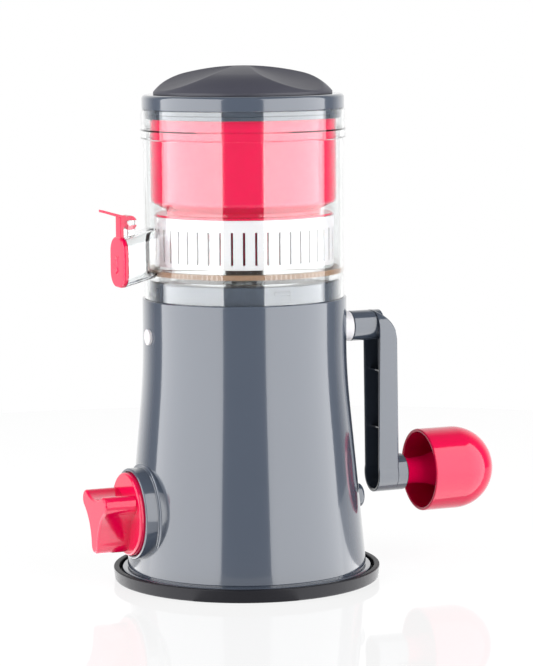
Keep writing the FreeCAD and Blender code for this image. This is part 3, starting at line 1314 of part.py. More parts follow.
def spout_cap():
    """Red flap: plate over the mouth, stem, claw round the clear pin and lever tab."""
    body = new_body("spout_cap")
    inner = S.spout_end + S.cap_gap
    half_width = spout_half_width + S.cap_margin
    half_depth = spout_half_depth + S.cap_margin
    middle = S.spout_end_height
    plate = round_rectangle(new_sketch(body, "YZ", -(inner + S.cap_wall)), as_size(0), middle,
                            half_width, half_depth, S.spout_corner + S.cap_margin)
    pad(body, plate, S.cap_wall, "plate")
    half_claw = S.claw_width / 2
    stem = rectangle(new_sketch(body, "YZ", -(inner + S.stem_wall)), -half_claw,
                     middle + half_depth - S.stem_root, half_claw, S.stem_top)
    pad(body, stem, S.stem_wall, "stem")
    bridge = rectangle(new_sketch(body, "XZ"), -inner - S.stem_wall / 2, S.hinge_height - S.claw_radius,
                       -S.hinge_reach - S.hinge_pin_radius, S.hinge_height + S.claw_radius)
    pad(body, bridge, S.claw_width, "bridge", both=True)
    claw = disc(new_sketch(body, "XZ"), S.claw_radius, -S.hinge_reach, S.hinge_height)
    pad(body, claw, S.claw_width, "claw", both=True)
    lever_end = inner + S.lever_reach + S.stem_wall / 2
    lever = outline(new_sketch(body, "XZ"), [
        (-inner - S.stem_wall / 2, S.stem_top - S.lever_wall),
        (-inner - S.stem_wall / 2, S.stem_top),
        (-lever_end, S.stem_top + S.lever_rise),
        (-lever_end, S.stem_top + S.lever_rise - S.lever_wall),
    ])
    pad(body, lever, S.claw_width, "lever", both=True)
    bore = disc(new_sketch(body, "XZ"), S.hinge_pin_radius + S.fit, -S.hinge_reach, S.hinge_height)
    pocket(body, bore, S.claw_width * 2, "bore", both=True)
    mouth = rectangle(new_sketch(body, "XZ"), -S.hinge_reach, S.hinge_height - S.claw_mouth / 2,
                      -S.hinge_reach + S.claw_radius * 2, S.hinge_height + S.claw_mouth / 2)
    pocket(body, mouth, S.claw_width * 2, "mouth", both=True)
    return body


# ---------------------------------------------------------------- strainer, auger, hopper


def strainer():
    """White ring with slots all round."""
    body = new_body("strainer")
    inner = S.strainer_radius - S.strainer_wall
    revolve(body, [
        (inner, S.plateau_top),
        (S.strainer_radius, S.plateau_top),
        (S.strainer_radius, S.strainer_top),
        (inner, S.strainer_top),
    ])
    slot = rectangle(new_sketch(body, "XZ"), -S.slot_width / 2, S.slot_bottom, S.slot_width / 2, S.slot_top)
    slot = pocket(body, slot, S.strainer_radius * 3, "slot", both=True)
    slots = pattern(body, [slot], S.slot_count / 2, "slots")
    slots.setExpression("Angle", "180 - 360 / Sizes.slot_count")
    return body


def auger():
    """Red screw: base disc with the hexagon socket, tapered core and flight in two widths."""
    body = new_body("auger")
    disc_top = S.auger_bottom + S.auger_disc_wall
    revolve(body, [
        (0, S.auger_bottom),
        (S.auger_radius, S.auger_bottom),
        (S.auger_radius, disc_top),
        (S.auger_core_radius, disc_top),
        (S.auger_tip_radius, S.auger_tip - S.auger_tip_length),
        (0, S.auger_tip),
    ])
    inner = S.auger_tip_radius - S.flight_root
    lower_start = disc_top - S.flight_sink
    lower_end = S.strainer_top - S.flight_stop
    upper_end = S.auger_tip - S.flight_top_gap
    for name, radius, start, end in (("lower", S.auger_radius - S.flight_inset, lower_start, lower_end),
                                     ("upper", S.auger_neck_radius, lower_end - S.flight_overlap, upper_end)):
        section = rectangle(new_sketch(body, "XZ"), inner, start, radius, start + S.flight_wall)
        flight = feature(body, "AdditiveHelix", section, f"flight_{name}")
        flight.ReferenceAxis = (section, ["V_Axis"])
        flight.Mode = 0
        bind(flight, Pitch=S.flight_pitch, Height=end - start - S.flight_wall)
    socket = hexagon(new_sketch(body, "XY", S.auger_bottom), S.drive_flats + S.fit * 2)
    pocket(body, socket, S.drive_top - S.auger_bottom + 1, "socket")
    return body


def hopper():
    """Red cup that turns in to a neck and stands on the strainer with a flange."""
    body = new_body("hopper")
    neck_bore = S.hopper_neck_radius - S.hopper_wall
    bore = S.hopper_radius - S.hopper_wall
    flange_top = S.strainer_top + S.hopper_flange_wall
    revolve(body, [
        (neck_bore, S.strainer_top),
        (S.hopper_flange_radius, S.strainer_top),
        (S.hopper_flange_radius, flange_top),
        (S.hopper_neck_radius, flange_top),
        (S.hopper_neck_radius, S.hopper_neck_top),
        (S.hopper_radius, S.hopper_turn),
        (S.hopper_radius, S.hopper_top),
        (bore, S.hopper_top),
        (bore, S.hopper_turn + S.hopper_wall / 2),
        (neck_bore, S.hopper_neck_top + S.hopper_wall / 2),
    ])
    return body


# ---------------------------------------------------------------- lid


def lid_ring():
    """Grey band with a shelf, and a skirt that reaches into the rim of the bowl."""
    body = new_body("lid_ring")
    skirt_bore = S.lid_skirt_radius - S.lid_skirt_wall
    revolve(body, [
        (skirt_bore, S.lid_skirt_bottom),
        (S.lid_skirt_radius, S.lid_skirt_bottom),
        (S.lid_skirt_radius, S.lid_bottom),
        (S.lid_radius, S.lid_bottom),
        (S.lid_radius, S.lid_top - S.lid_edge),
        (S.lid_radius - S.lid_edge, S.lid_top, S.lid_edge),
        (S.lid_opening, S.lid_top),
        (S.lid_opening, S.lid_top - S.lid_wall),
        (skirt_bore, S.lid_top - S.lid_wall),
    ])
    return body


def cosine(degrees):
    return Size(math.cos(math.radians(degrees.value)), f"cos({degrees.formula})")


def sine(degrees):
    return Size(math.sin(math.radians(degrees.value)), f"sin({degrees.formula})")


def lid_dome():
    """Matte dome snapped into the lid, with finger scoops that widen outwards."""
    body = new_body("lid_dome")
    body.setExpression("Placement.Rotation.Yaw", "Sizes.scoop_turn")
    sag = S.dome_top - S.dome_break_height
    crown = (S.dome_break * S.dome_break + sag * sag) / (sag * 2)
    snap = S.lid_opening - S.gap
    snap_bore = snap - S.dome_snap_wall
    revolve(body, [
        (0, S.dome_top),
        (S.dome_break, S.dome_break_height, -crown),
        (S.dome_radius, S.dome_edge, -S.shoulder_turn),
        (S.dome_radius, S.lid_top),
        (snap, S.lid_top),
        (snap, S.dome_snap_bottom),
        (snap_bore, S.dome_snap_bottom),
        (snap_bore, S.dome_edge + 1),
        (S.dome_break, S.dome_break_height - S.dome_wall),
        (0, S.dome_top - S.dome_wall),
    ])
    run, fall = S.scoop_end - S.scoop_start, S.scoop_end_height - S.scoop_start_height
    across, along = sine(S.scoop_spread), cosine(S.scoop_spread)
    axis_run = (run * along - fall * across) * along * S.scoop_stretch
    axis_rise = (run * across + fall * along) * along * S.scoop_stretch
    sketch = outline(new_sketch(body, "XZ"), [
        (S.scoop_start, S.scoop_start_height),
        (S.scoop_start + run * S.scoop_stretch, S.scoop_start_height + fall * S.scoop_stretch),
        (S.scoop_start + axis_run, S.scoop_start_height + axis_rise),
    ])
    start = FreeCAD.Vector(S.scoop_start.value, S.scoop_start_height.value, 0)
    end = start + FreeCAD.Vector(axis_run.value, axis_rise.value, 0)
    axis = sketch.addGeometry(Part.LineSegment(start, end), True)
    sketch.addConstraint(Sketcher.Constraint("Coincident", 0, 2, axis, 1))
    sketch.addConstraint(Sketcher.Constraint("Coincident", 2, 2, axis, 2))
    scoop = feature(body, "Groove", sketch, "scoop")
    scoop.ReferenceAxis = (sketch, ["Axis0"])
    scoop.Angle = 360.0
    pattern(body, [scoop], S.scoop_count, "scoops")
    return body


# ---------------------------------------------------------------- assembly


def build():
    suction_cup()
    base_plate()
    base_screws()
    housing()
    lift_yoke()
    suction_cam()
    cross_pin("cam_pin", S.shaft_height, (S.cam_hub_end + S.cam_wall / 2) / 2, S.cam_hub_radius * 2)
    suction_shaft()
    suction_knob()
    knob_screw()
    knob_cap()
    shaft_end_cap()
    crank_axle()
    axle_bush()
    bevel_pinion()
    cross_pin("pinion_pin", S.axle_height, pinion_pin_place, S.pinion_hub_radius * 2)
    crank_arm()
    crank_screw()
    grip_axle()
    ring("grip_washer", S.grip_axle_radius, S.grip_hub_radius, S.arm_foot_end, S.grip_hub_start - S.gap,
         "X", z=S.grip_height)
    crank_knob()
    bevel_wheel()
    drive_shaft()
    drive_rings()
    bowl()
    bowl_rings()
    spout_cap()
    strainer()
    auger()
    hopper()
    lid_ring()
    lid_dome()


def check(item):
    """Stop on a failed object or an empty or invalid shape."""
    problems = []
    for entry in doc.Objects:
        if "Invalid" in entry.State or "Error" in entry.State:
            problems.append(entry.Label)
    if problems:
        raise RuntimeError("failed objects: " + ", ".join(problems))
    if item.Shape.isNull() or not item.Shape.isValid():
        raise RuntimeError(f"bad shape: {item.Label}")


build()
doc.recompute()
os.makedirs("parts", exist_ok=True)
for piece in parts:
    check(piece)
    piece.Shape.exportStep(os.path.join("parts", f"{piece.Label}.step"))
    print(f"{piece.Label}: {len(piece.Shape.Solids)} solid, {piece.Shape.Volume:.1f} mm3")
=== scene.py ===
"""Looks of a hand-cranked juicer on a suction foot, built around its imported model."""
import logging
import math
from dataclasses import dataclass
from enum import Enum
from typing import Sequence

import bmesh
import bpy
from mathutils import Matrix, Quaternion, Vector


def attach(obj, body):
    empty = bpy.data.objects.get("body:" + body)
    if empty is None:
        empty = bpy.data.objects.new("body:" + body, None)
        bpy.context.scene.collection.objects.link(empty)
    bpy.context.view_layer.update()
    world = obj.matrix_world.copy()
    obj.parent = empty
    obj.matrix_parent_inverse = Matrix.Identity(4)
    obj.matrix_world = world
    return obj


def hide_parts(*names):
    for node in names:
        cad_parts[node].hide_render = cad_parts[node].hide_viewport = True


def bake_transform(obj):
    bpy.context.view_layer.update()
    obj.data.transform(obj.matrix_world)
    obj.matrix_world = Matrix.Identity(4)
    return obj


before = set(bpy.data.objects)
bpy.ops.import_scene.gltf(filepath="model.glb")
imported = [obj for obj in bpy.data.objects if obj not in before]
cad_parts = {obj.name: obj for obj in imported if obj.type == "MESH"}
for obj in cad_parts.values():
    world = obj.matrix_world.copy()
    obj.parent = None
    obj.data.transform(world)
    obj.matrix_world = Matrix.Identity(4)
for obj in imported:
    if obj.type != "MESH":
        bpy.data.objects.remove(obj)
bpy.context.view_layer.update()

logging.basicConfig(level=logging.INFO, format="%(message)s")
LOG = logging.getLogger("juicer")

MM = 0.001
TINY = 1e-9  # a length under this counts as nothing
ON_AXIS = 1e-6  # a radius under this, in millimetres, lies on the axis of a turned piece
MERGE = 1e-7  # points within this many metres are joined
NO_SCOOP = 1e6  # height of a scoop's floor where there is no scoop
NEARLY_STRAIGHT = 1e-4  # a corner this close to a straight line, in radians, stays as it is
SIDE_SHARE = 0.48  # most of a side that the rounding of one corner may take
LONG_ARC = 100.0  # a rounding of more than this radius has LONG_ARC_PIECES pieces
LONG_ARC_PIECES = 24
SCATTER = (0.004, 0.003, 0.002)  # metres that red, green and blue light travel in a piece

# Sizes in millimetres that several pieces share.
SUCTION_SHAFT_HEIGHT = 44.0
GRIP_HEIGHT = 56.8
SHAFT_BORE = 5.1
GRIP_BORE = 4.05

Point = tuple[float, float]
Point3 = tuple[float, float, float]
Colour = tuple[float, float, float]


class Axis(Enum):
    """Axis that a piece is turned about or drawn out along."""

    X = "x"
    Z = "z"


# ---- shader groups


def maths(tree: bpy.types.NodeTree, operation: str, *values: object) -> bpy.types.NodeSocket:
    """Add a Math node.

    Args:
        tree: tree that gets the node.
        operation: Blender's name of the operation.
        values: numbers or sockets for its inputs.

    Returns:
        The node's output socket.
    """
    node = tree.nodes.new("ShaderNodeMath")
    node.operation = operation
    for socket, value in zip(node.inputs, values):
        if isinstance(value, bpy.types.NodeSocket):
            tree.links.new(value, socket)
        else:
            socket.default_value = value
    return node.outputs[0]


# Scale, detail and distortion of each noise; the scale of the grain is an input of the group.
BROAD = (28.0, 3.0, 0.0)
FINE = (5.0, 2.0, 0.0)
SMEAR = (60.0, 5.0, 0.8)


def moulded_skin() -> bpy.types.NodeTree:
    """Return the group of a moulded skin, made on first use: mottling, fine grain and flow waviness.

    Returns:
        The node group, with outputs Color, Roughness and Height.
    """
    found = bpy.data.node_groups.get("moulded_skin")
    if found is not None:
        return found
    group = bpy.data.node_groups.new("moulded_skin", "ShaderNodeTree")
    for name, kind, value in (("Color", "Color", (0.5, 0.5, 0.5, 1)), ("Mottle", "Float", 0.06),
                              ("Roughness", "Float", 0.2), ("Smudge", "Float", 0.03),
                              ("Grain Scale", "Float", 2500.0), ("Grain", "Float", 0.2),
                              ("Wave", "Float", 0.2)):
        socket = group.interface.new_socket(name, in_out="INPUT", socket_type=f"NodeSocket{kind}")
        socket.default_value = value
    for name, kind in (("Color", "Color"), ("Roughness", "Float"), ("Height", "Float")):
        group.interface.new_socket(name, in_out="OUTPUT", socket_type=f"NodeSocket{kind}")
    nodes, links = group.nodes, group.links
    taken = nodes.new("NodeGroupInput")
    given = nodes.new("NodeGroupOutput")
    place = nodes.new("ShaderNodeTexCoord")
    broad, fine, smear = [nodes.new("ShaderNodeTexNoise") for _ in range(3)]
    for texture, values in ((broad, BROAD), (fine, FINE), (smear, SMEAR)):
        for name, value in zip(("Scale", "Detail", "Distortion"), values):
            texture.inputs[name].default_value = value
        links.new(place.outputs["Object"], texture.inputs["Vector"])
    links.new(taken.outputs["Grain Scale"], fine.inputs["Scale"])
    tint = maths(group, "MULTIPLY_ADD", broad.outputs["Fac"], taken.outputs["Mottle"], 1.0)
    lower = maths(group, "MULTIPLY", taken.outputs["Mottle"], 0.5)
    factor = maths(group, "SUBTRACT", tint, lower)
    shade = nodes.new("ShaderNodeVectorMath")
    shade.operation = "SCALE"
    links.new(taken.outputs["Color"], shade.inputs[0])
    links.new(factor, shade.inputs["Scale"])
    links.new(shade.outputs["Vector"], given.inputs["Color"])
    centred = maths(group, "SUBTRACT", smear.outputs["Fac"], 0.5)
    spread = maths(group, "MULTIPLY_ADD", centred, taken.outputs["Smudge"],
                   taken.outputs["Roughness"])
    links.new(spread, given.inputs["Roughness"])
    grain = maths(group, "MULTIPLY", fine.outputs["Fac"], taken.outputs["Grain"])
    wave = maths(group, "MULTIPLY", broad.outputs["Fac"], taken.outputs["Wave"])
    links.new(maths(group, "ADD", grain, wave), given.inputs["Height"])
    return group


@dataclass(frozen=True)
class Skin:
    """A finish on the Principled shader with a moulded skin.

    The grain is a small bump of the mould; the wave is the slow unevenness that bends reflections.
    """

    name: str
    colour: Colour
    roughness: float = 0.2
    mottle: float = 0.05
    smudge: float = 0.03
    grain_scale: float = 2600.0
    grain: float = 0.2
    wave: float = 0.1
    bump: float = 0.00004
    coat: float = 0.0
    coat_roughness: float = 0.05
    specular: float = 0.5
    metallic: float = 0.0
    subsurface: float = 0.0
    transmission: float = 0.0
    ior: float = 1.5

    def material(self) -> bpy.types.Material:
        """Return the material of this finish, made on first use."""
        found = bpy.data.materials.get(self.name)
        if found is not None:
            return found
        made = bpy.data.materials.new(self.name)
        made.use_nodes = True
        tree = made.node_tree
        shader = tree.nodes["Principled BSDF"]
        skin = tree.nodes.new("ShaderNodeGroup")
        skin.node_tree = moulded_skin()
        skin_values = {"Color": (*self.colour, 1.0), "Mottle": self.mottle, "Roughness": self.roughness,
                       "Smudge": self.smudge, "Grain Scale": self.grain_scale, "Grain": self.grain,
                       "Wave": self.wave}
        tree.links.new(skin.outputs["Color"], shader.inputs["Base Color"])
        tree.links.new(skin.outputs["Roughness"], shader.inputs["Roughness"])
        bump = tree.nodes.new("ShaderNodeBump")
        bump.inputs["Distance"].default_value = self.bump
        bump.inputs["Strength"].default_value = 1.0
        tree.links.new(skin.outputs["Height"], bump.inputs["Height"])
        tree.links.new(bump.outputs["Normal"], shader.inputs["Normal"])
        shader_values = {"Metallic": self.metallic, "Specular IOR Level": self.specular, "IOR": self.ior,
                         "Coat Weight": self.coat, "Coat Roughness": self.coat_roughness,
                         "Transmission Weight": self.transmission}
        if self.subsurface:
            shader_values |= {"Subsurface Weight": self.subsurface, "Subsurface Radius": SCATTER,
                              "Subsurface Scale": 1.0}
        for node, values in ((skin, skin_values), (shader, shader_values)):
            for name, value in values.items():
                node.inputs[name].default_value = value
        return made


class Finish(Enum):
    """The finishes of the juicer."""

    GREY_GLOSS = Skin("grey_gloss_plastic_skin", (0.054, 0.067, 0.092), roughness=0.14, coat=0.8,
                      coat_roughness=0.03, smudge=0.02, grain=0.05, wave=0.6, bump=0.00002)
    GREY_MATTE = Skin("grey_matte_plastic_skin", (0.042, 0.042, 0.056), roughness=0.46, specular=0.35,
                      mottle=0.08, smudge=0.08, grain=1.0, grain_scale=2200.0, bump=0.00004)
    RED_GLOSS = Skin("red_gloss_plastic_skin", (0.62, 0.0003, 0.052), roughness=0.12, coat=0.3,
                     coat_roughness=0.04, specular=0.35, grain=0.05, wave=0.5, bump=0.00002)
    CLEAR = Skin("clear_plastic_skin", (0.97, 0.985, 0.985), roughness=0.02, mottle=0.01, smudge=0.02,
                 grain=0.0, wave=1.0, bump=0.00001, transmission=1.0, ior=1.2, coat=1.0,
                 coat_roughness=0.02)
    WHITE = Skin("white_plastic_skin", (0.60, 0.585, 0.60), roughness=0.32, subsurface=0.1, mottle=0.03,
                 smudge=0.05, grain=0.4)
    RUBBER = Skin("black_rubber_skin", (0.007, 0.007, 0.010), roughness=0.40, specular=0.2, mottle=0.2,
                  smudge=0.12, grain=1.0, grain_scale=1600.0, bump=0.00006)
    SILICONE = Skin("tan_silicone_skin", (0.22, 0.13, 0.075), roughness=0.4, subsurface=0.2, mottle=0.1,
                    smudge=0.1, grain=0.5)
    STEEL = Skin("turned_steel_skin", (0.60, 0.60, 0.61), roughness=0.25, metallic=1.0, mottle=0.05,
                 smudge=0.15, grain=0.4)

    def material(self) -> bpy.types.Material:
        """Return this finish's material."""
        return self.value.material()


# ---- mesh making


def rounded(corners: Sequence[tuple[float, ...]], steps: int = 6) -> list[Point]:
    """Round the corners of a closed loop.

    Args:
        corners: (a, b) or (a, b, radius) for each corner, in millimetres.
        steps: arc pieces for a corner of a right angle.

    Returns:
        The loop's points.
    """
    points: list[Point] = []
    count = len(corners)
    for n, corner in enumerate(corners):
        here = Vector(corner[:2])
        radius = corner[2] if len(corner) > 2 else 0.0
        before = Vector(corners[n - 1][:2]) - here
        after = Vector(corners[(n + 1) % count][:2]) - here
        if radius <= 0 or before.length < TINY or after.length < TINY:
            points.append((here.x, here.y))
            continue
        inside = before.angle(after)
        if inside > math.pi - NEARLY_STRAIGHT:
            points.append((here.x, here.y))
            continue
        reach = min(radius / math.tan(inside / 2), before.length * SIDE_SHARE,
                    after.length * SIDE_SHARE)
        radius = reach * math.tan(inside / 2)
        inwards = (before.normalized() + after.normalized()).normalized()
        middle = here + inwards * (radius / math.sin(inside / 2))
        first = here + before.normalized() * reach - middle
        last = here + after.normalized() * reach - middle
        turn = first.angle_signed(last)
        pieces = max(2, round(steps * abs(turn) / (math.pi / 2)))
        if radius > LONG_ARC:
            pieces = LONG_ARC_PIECES
        for k in range(pieces + 1):
            spin = -turn * k / pieces
            x = first.x * math.cos(spin) - first.y * math.sin(spin)
            y = first.x * math.sin(spin) + first.y * math.cos(spin)
            points.append((middle.x + x, middle.y + y))
    return points


def arc(middle: Point, radius: float, start: float, end: float, steps: int) -> list[Point]:
    """Return points on an arc, both ends included.

    Args:
        middle: centre in millimetres.
        radius: radius in millimetres.
        start: first angle in degrees.
        end: last angle in degrees.
        steps: number of pieces.
    """
    turns = [math.radians(start + (end - start) * k / steps) for k in range(steps + 1)]
    return [(middle[0] + radius * math.cos(turn), middle[1] + radius * math.sin(turn)) for turn in turns]


def between(first: Point, last: Point, pieces: int) -> list[Point]:
    """Return the points that part a straight side into equal pieces, without its ends.

    Args:
        first: one end.
        last: the other end.
        pieces: number of pieces.
    """
    return [(first[0] + (last[0] - first[0]) * k / pieces, first[1] + (last[1] - first[1]) * k / pieces)
            for k in range(1, pieces)]


def inset(outline: Sequence[Point], distance: float) -> list[Point]:
    """Move a closed anticlockwise outline inwards by a distance, point by point.

    Args:
        outline: points in order.
        distance: how far, in the outline's units.

    Returns:
        The moved points.
    """
    moved = []
    count = len(outline)
    for n, (x, y) in enumerate(outline):
        ahead = Vector(outline[(n + 1) % count]) - Vector((x, y))
        behind = Vector((x, y)) - Vector(outline[n - 1])
        sum_of = Vector((0.0, 0.0))
        for edge in (ahead, behind):
            if edge.length > TINY:
                edge.normalize()
                sum_of += Vector((-edge.y, edge.x))
        if sum_of.length < TINY:
            moved.append((x, y))
            continue
        sum_of.normalize()
        moved.append((x + sum_of.x * distance, y + sum_of.y * distance))
    return moved


def make_piece(name: str, points: Sequence[Point3], faces: Sequence[Sequence[int]], finish: Finish,
               sharp: float = 32.0) -> bpy.types.Object:
    """Make an object from points in millimetres.

    Args:
        name: name of the piece.
        points: corners in millimetres.
        faces: indices of each face.
        finish: its finish.
        sharp: edges that turn by more than this many degrees stay crisp.

    Returns:
        The object, linked into the scene.
    """
    mesh = bpy.data.meshes.new(name)
    corners = [(x * MM, y * MM, z * MM) for x, y, z in points]
    mesh.from_pydata(corners, [], [tuple(face) for face in faces])
    work = bmesh.new()
    work.from_mesh(mesh)
    bmesh.ops.remove_doubles(work, verts=work.verts, dist=MERGE)
    bmesh.ops.recalc_face_normals(work, faces=work.faces)
    for face in work.faces:
        face.smooth = True
    for edge in work.edges:
        if len(edge.link_faces) == 2:
            edge.smooth = edge.calc_face_angle(0.0) < math.radians(sharp)
    work.to_mesh(mesh)
    work.free()
    mesh.materials.append(finish.material())
    item = bpy.data.objects.new(name, mesh)
    bpy.context.scene.collection.objects.link(item)
    weights = item.modifiers.new("even_shading", "WEIGHTED_NORMAL")
    weights.keep_sharp = True
    weights.weight = 60
    return item


def place_on(axis: Axis, radius: float, angle: float, along: float, centre: Point3) -> Point3:
    """Return the point at a radius, angle and distance along an axis through a centre.

    Args:
        axis: the axis turned about.
        radius: distance from the axis.
        angle: angle in radians.
        along: distance along the axis.
        centre: point that the axis passes through.
    """
    a, b = radius * math.cos(angle), radius * math.sin(angle)
    if axis is Axis.Z:
        return (centre[0] + a, centre[1] + b, centre[2] + along)
    return (centre[0] + along, centre[1] + a, centre[2] + b)


def joined(ring: Sequence[int], other: Sequence[int]) -> list[list[int]]:
    """Return the faces between two closed rings of points; a ring at one point gives triangles.

    Args:
        ring: indices of the first ring.
        other: indices of the second ring, as many.
    """
    faces = []
    for k in range(len(ring)):
        q = (k + 1) % len(ring)
        corners = [ring[k], ring[q], other[q], other[k]]
        kept = [c for i, c in enumerate(corners) if c != corners[i - 1]]
        if len(set(kept)) >= 3:
            faces.append(kept)
    return faces


def turned(name: str, loop: Sequence[Point], finish: Finish, axis: Axis = Axis.Z,
           centre: Point3 = (0.0, 0.0, 0.0), segments: int = 192, sharp: float = 32.0) -> bpy.types.Object:
    """Turn a closed (radius, along) loop about an axis.

    Args:
        name: name of the piece.
        loop: closed loop of its cross-section in millimetres; points on the axis close it there.
        finish: its finish.
        axis: axis turned about.
        centre: point on the axis.
        segments: pieces of a full turn.
        sharp: see make_piece.

    Returns:
        The piece.
    """
    points: list[Point3] = []
    rings: list[list[int]] = []
    for radius, along in loop:
        if radius < ON_AXIS:
            points.append(place_on(axis, 0.0, 0.0, along, centre))
            rings.append([len(points) - 1] * segments)
        else:
            start = len(points)
            points += [place_on(axis, radius, 2 * math.pi * k / segments, along, centre)
                       for k in range(segments)]
            rings.append(list(range(start, start + segments)))
    faces = []
    for n, ring in enumerate(rings):
        faces += joined(ring, rings[(n + 1) % len(rings)])
    return make_piece(name, points, faces, finish, sharp)


def stacked(name: str, sections: Sequence[Sequence[Point3]], finish: Finish, caps: bool = True,
            closed: bool = False, sharp: float = 32.0) -> bpy.types.Object:
    """Join closed sections of equal length into one skin.

    Args:
        name: name of the piece.
        sections: lists of points in millimetres.
        finish: its finish.
        caps: True to close the first and last section.
        closed: True to join the last section to the first.
        sharp: see make_piece.

    Returns:
        The piece.
    """
    count = len(sections[0])
    points = [p for section in sections for p in section]
    faces: list[Sequence[int]] = []
    for n in range(len(sections) - (0 if closed else 1)):
        a, b = n * count, ((n + 1) % len(sections)) * count
        for k in range(count):
            q = (k + 1) % count
            faces.append((a + k, a + q, b + q, b + k))
    if caps and not closed:
        faces.append(tuple(range(count)))
        faces.append(tuple(range((len(sections) - 1) * count, len(sections) * count)))
    return make_piece(name, points, faces, finish, sharp)


def edge_steps(radius: float, pieces: int) -> list[tuple[float, float]]:
    """Return how far back from the face and how far in from the side each step of a rounded edge is.

    Args:
        radius: radius of the edge.
        pieces: pieces of the rounding, from the side to the face.
    """
    turns = [math.pi / 2 * k / pieces for k in range(pieces + 1)]
    return [(radius * (1 - math.sin(turn)), radius * (1 - math.cos(turn))) for turn in turns]


def drawn_out(name: str, outline: Sequence[Point], reach: tuple[float, float], edges: tuple[float, float],
              finish: Finish, steps: int = 5) -> bpy.types.Object:
    """Draw an outline in the YZ plane out along X, with rounded edges at both ends.

    Args:
        name: name of the piece.
        outline: anticlockwise (y, z) points in millimetres.
        reach: x of the first and the last end.
        edges: rounding radius at the first and the last end.
        finish: its finish.
        steps: pieces of each rounding.

    Returns:
        The piece.
    """
    way = 1.0 if reach[1] > reach[0] else -1.0
    levels = [(reach[0] + way * side, back) for back, side in edge_steps(edges[0], steps)]
    levels += [(reach[1] - way * back, side) for back, side in edge_steps(edges[1], steps)]
    sections = [[(x, y, z) for y, z in inset(outline, shrink)] for x, shrink in levels]
    return stacked(name, sections, finish)


def carry(item: bpy.types.Object, body: str, *nodes: str) -> bpy.types.Object:
    """Let a piece ride on a body and stand for CAD nodes.

    Args:
        item: the piece.
        body: body that it rides on.
        nodes: CAD nodes that it stands for.

    Returns:
        The piece.
    """
    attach(item, body)
    if nodes:
        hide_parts(*nodes)
    LOG.info("built %s on %s", item.name, body)
    return item


# ---- foot and housing


@dataclass
class Foot:
    """Rubber suction foot: the lip that stands on the table and the membrane that the yoke lifts."""

    lip_radius: float = 80.8
    lip_height: float = 8.0
    lip_wall: float = 3.4
    tread_start: float = 68.0
    ridge_radius: float = 69.0
    ridge_height: float = 10.0
    floor_height: float = 3.0
    seal_radius: float = 66.5
    seal_height: float = 0.15
    hub_height: float = 8.0
    pocket_radius: float = 4.2
    pocket_floor: float = 6.4

    def lip(self) -> None:
        """Build the lip with its rounded edges."""
        inner = self.lip_radius - self.lip_wall
        loop = rounded([
            (self.seal_radius, self.seal_height), (self.tread_start, 0.0), (self.lip_radius - 0.7, 0.0, 1.3),
            (self.lip_radius, self.lip_height, 0.8), (inner, self.lip_height, 0.7),
            (inner, self.floor_height, 0.4), (self.ridge_radius, self.floor_height),
            (self.ridge_radius, self.ridge_height), (self.seal_radius, self.ridge_height),
            (self.seal_radius, self.floor_height),
        ])
        carry(turned("suction_lip", loop, Finish.RUBBER, segments=256), "base", "suction_cup")

    def membrane(self) -> None:
        """Build the membrane and hub."""
        loop = rounded([
            (0.0, 3.2), (14.0, 3.2, 20.0), (self.seal_radius, self.seal_height), (self.seal_radius, 1.4),
            (40.0, 2.6, 8.0), (17.5, 5.6, 2.0), (16.0, self.hub_height, 0.6),
            (self.pocket_radius, self.hub_height), (self.pocket_radius, self.pocket_floor),
            (0.0, self.pocket_floor),
        ])
        piece = turned("suction_membrane", loop, Finish.RUBBER)
        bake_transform(piece)
        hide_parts("suction_cup")
        LOG.info("built suction_membrane between base and yoke")

    def build(self) -> None:
        """Build both pieces."""
        self.lip()
        self.membrane()


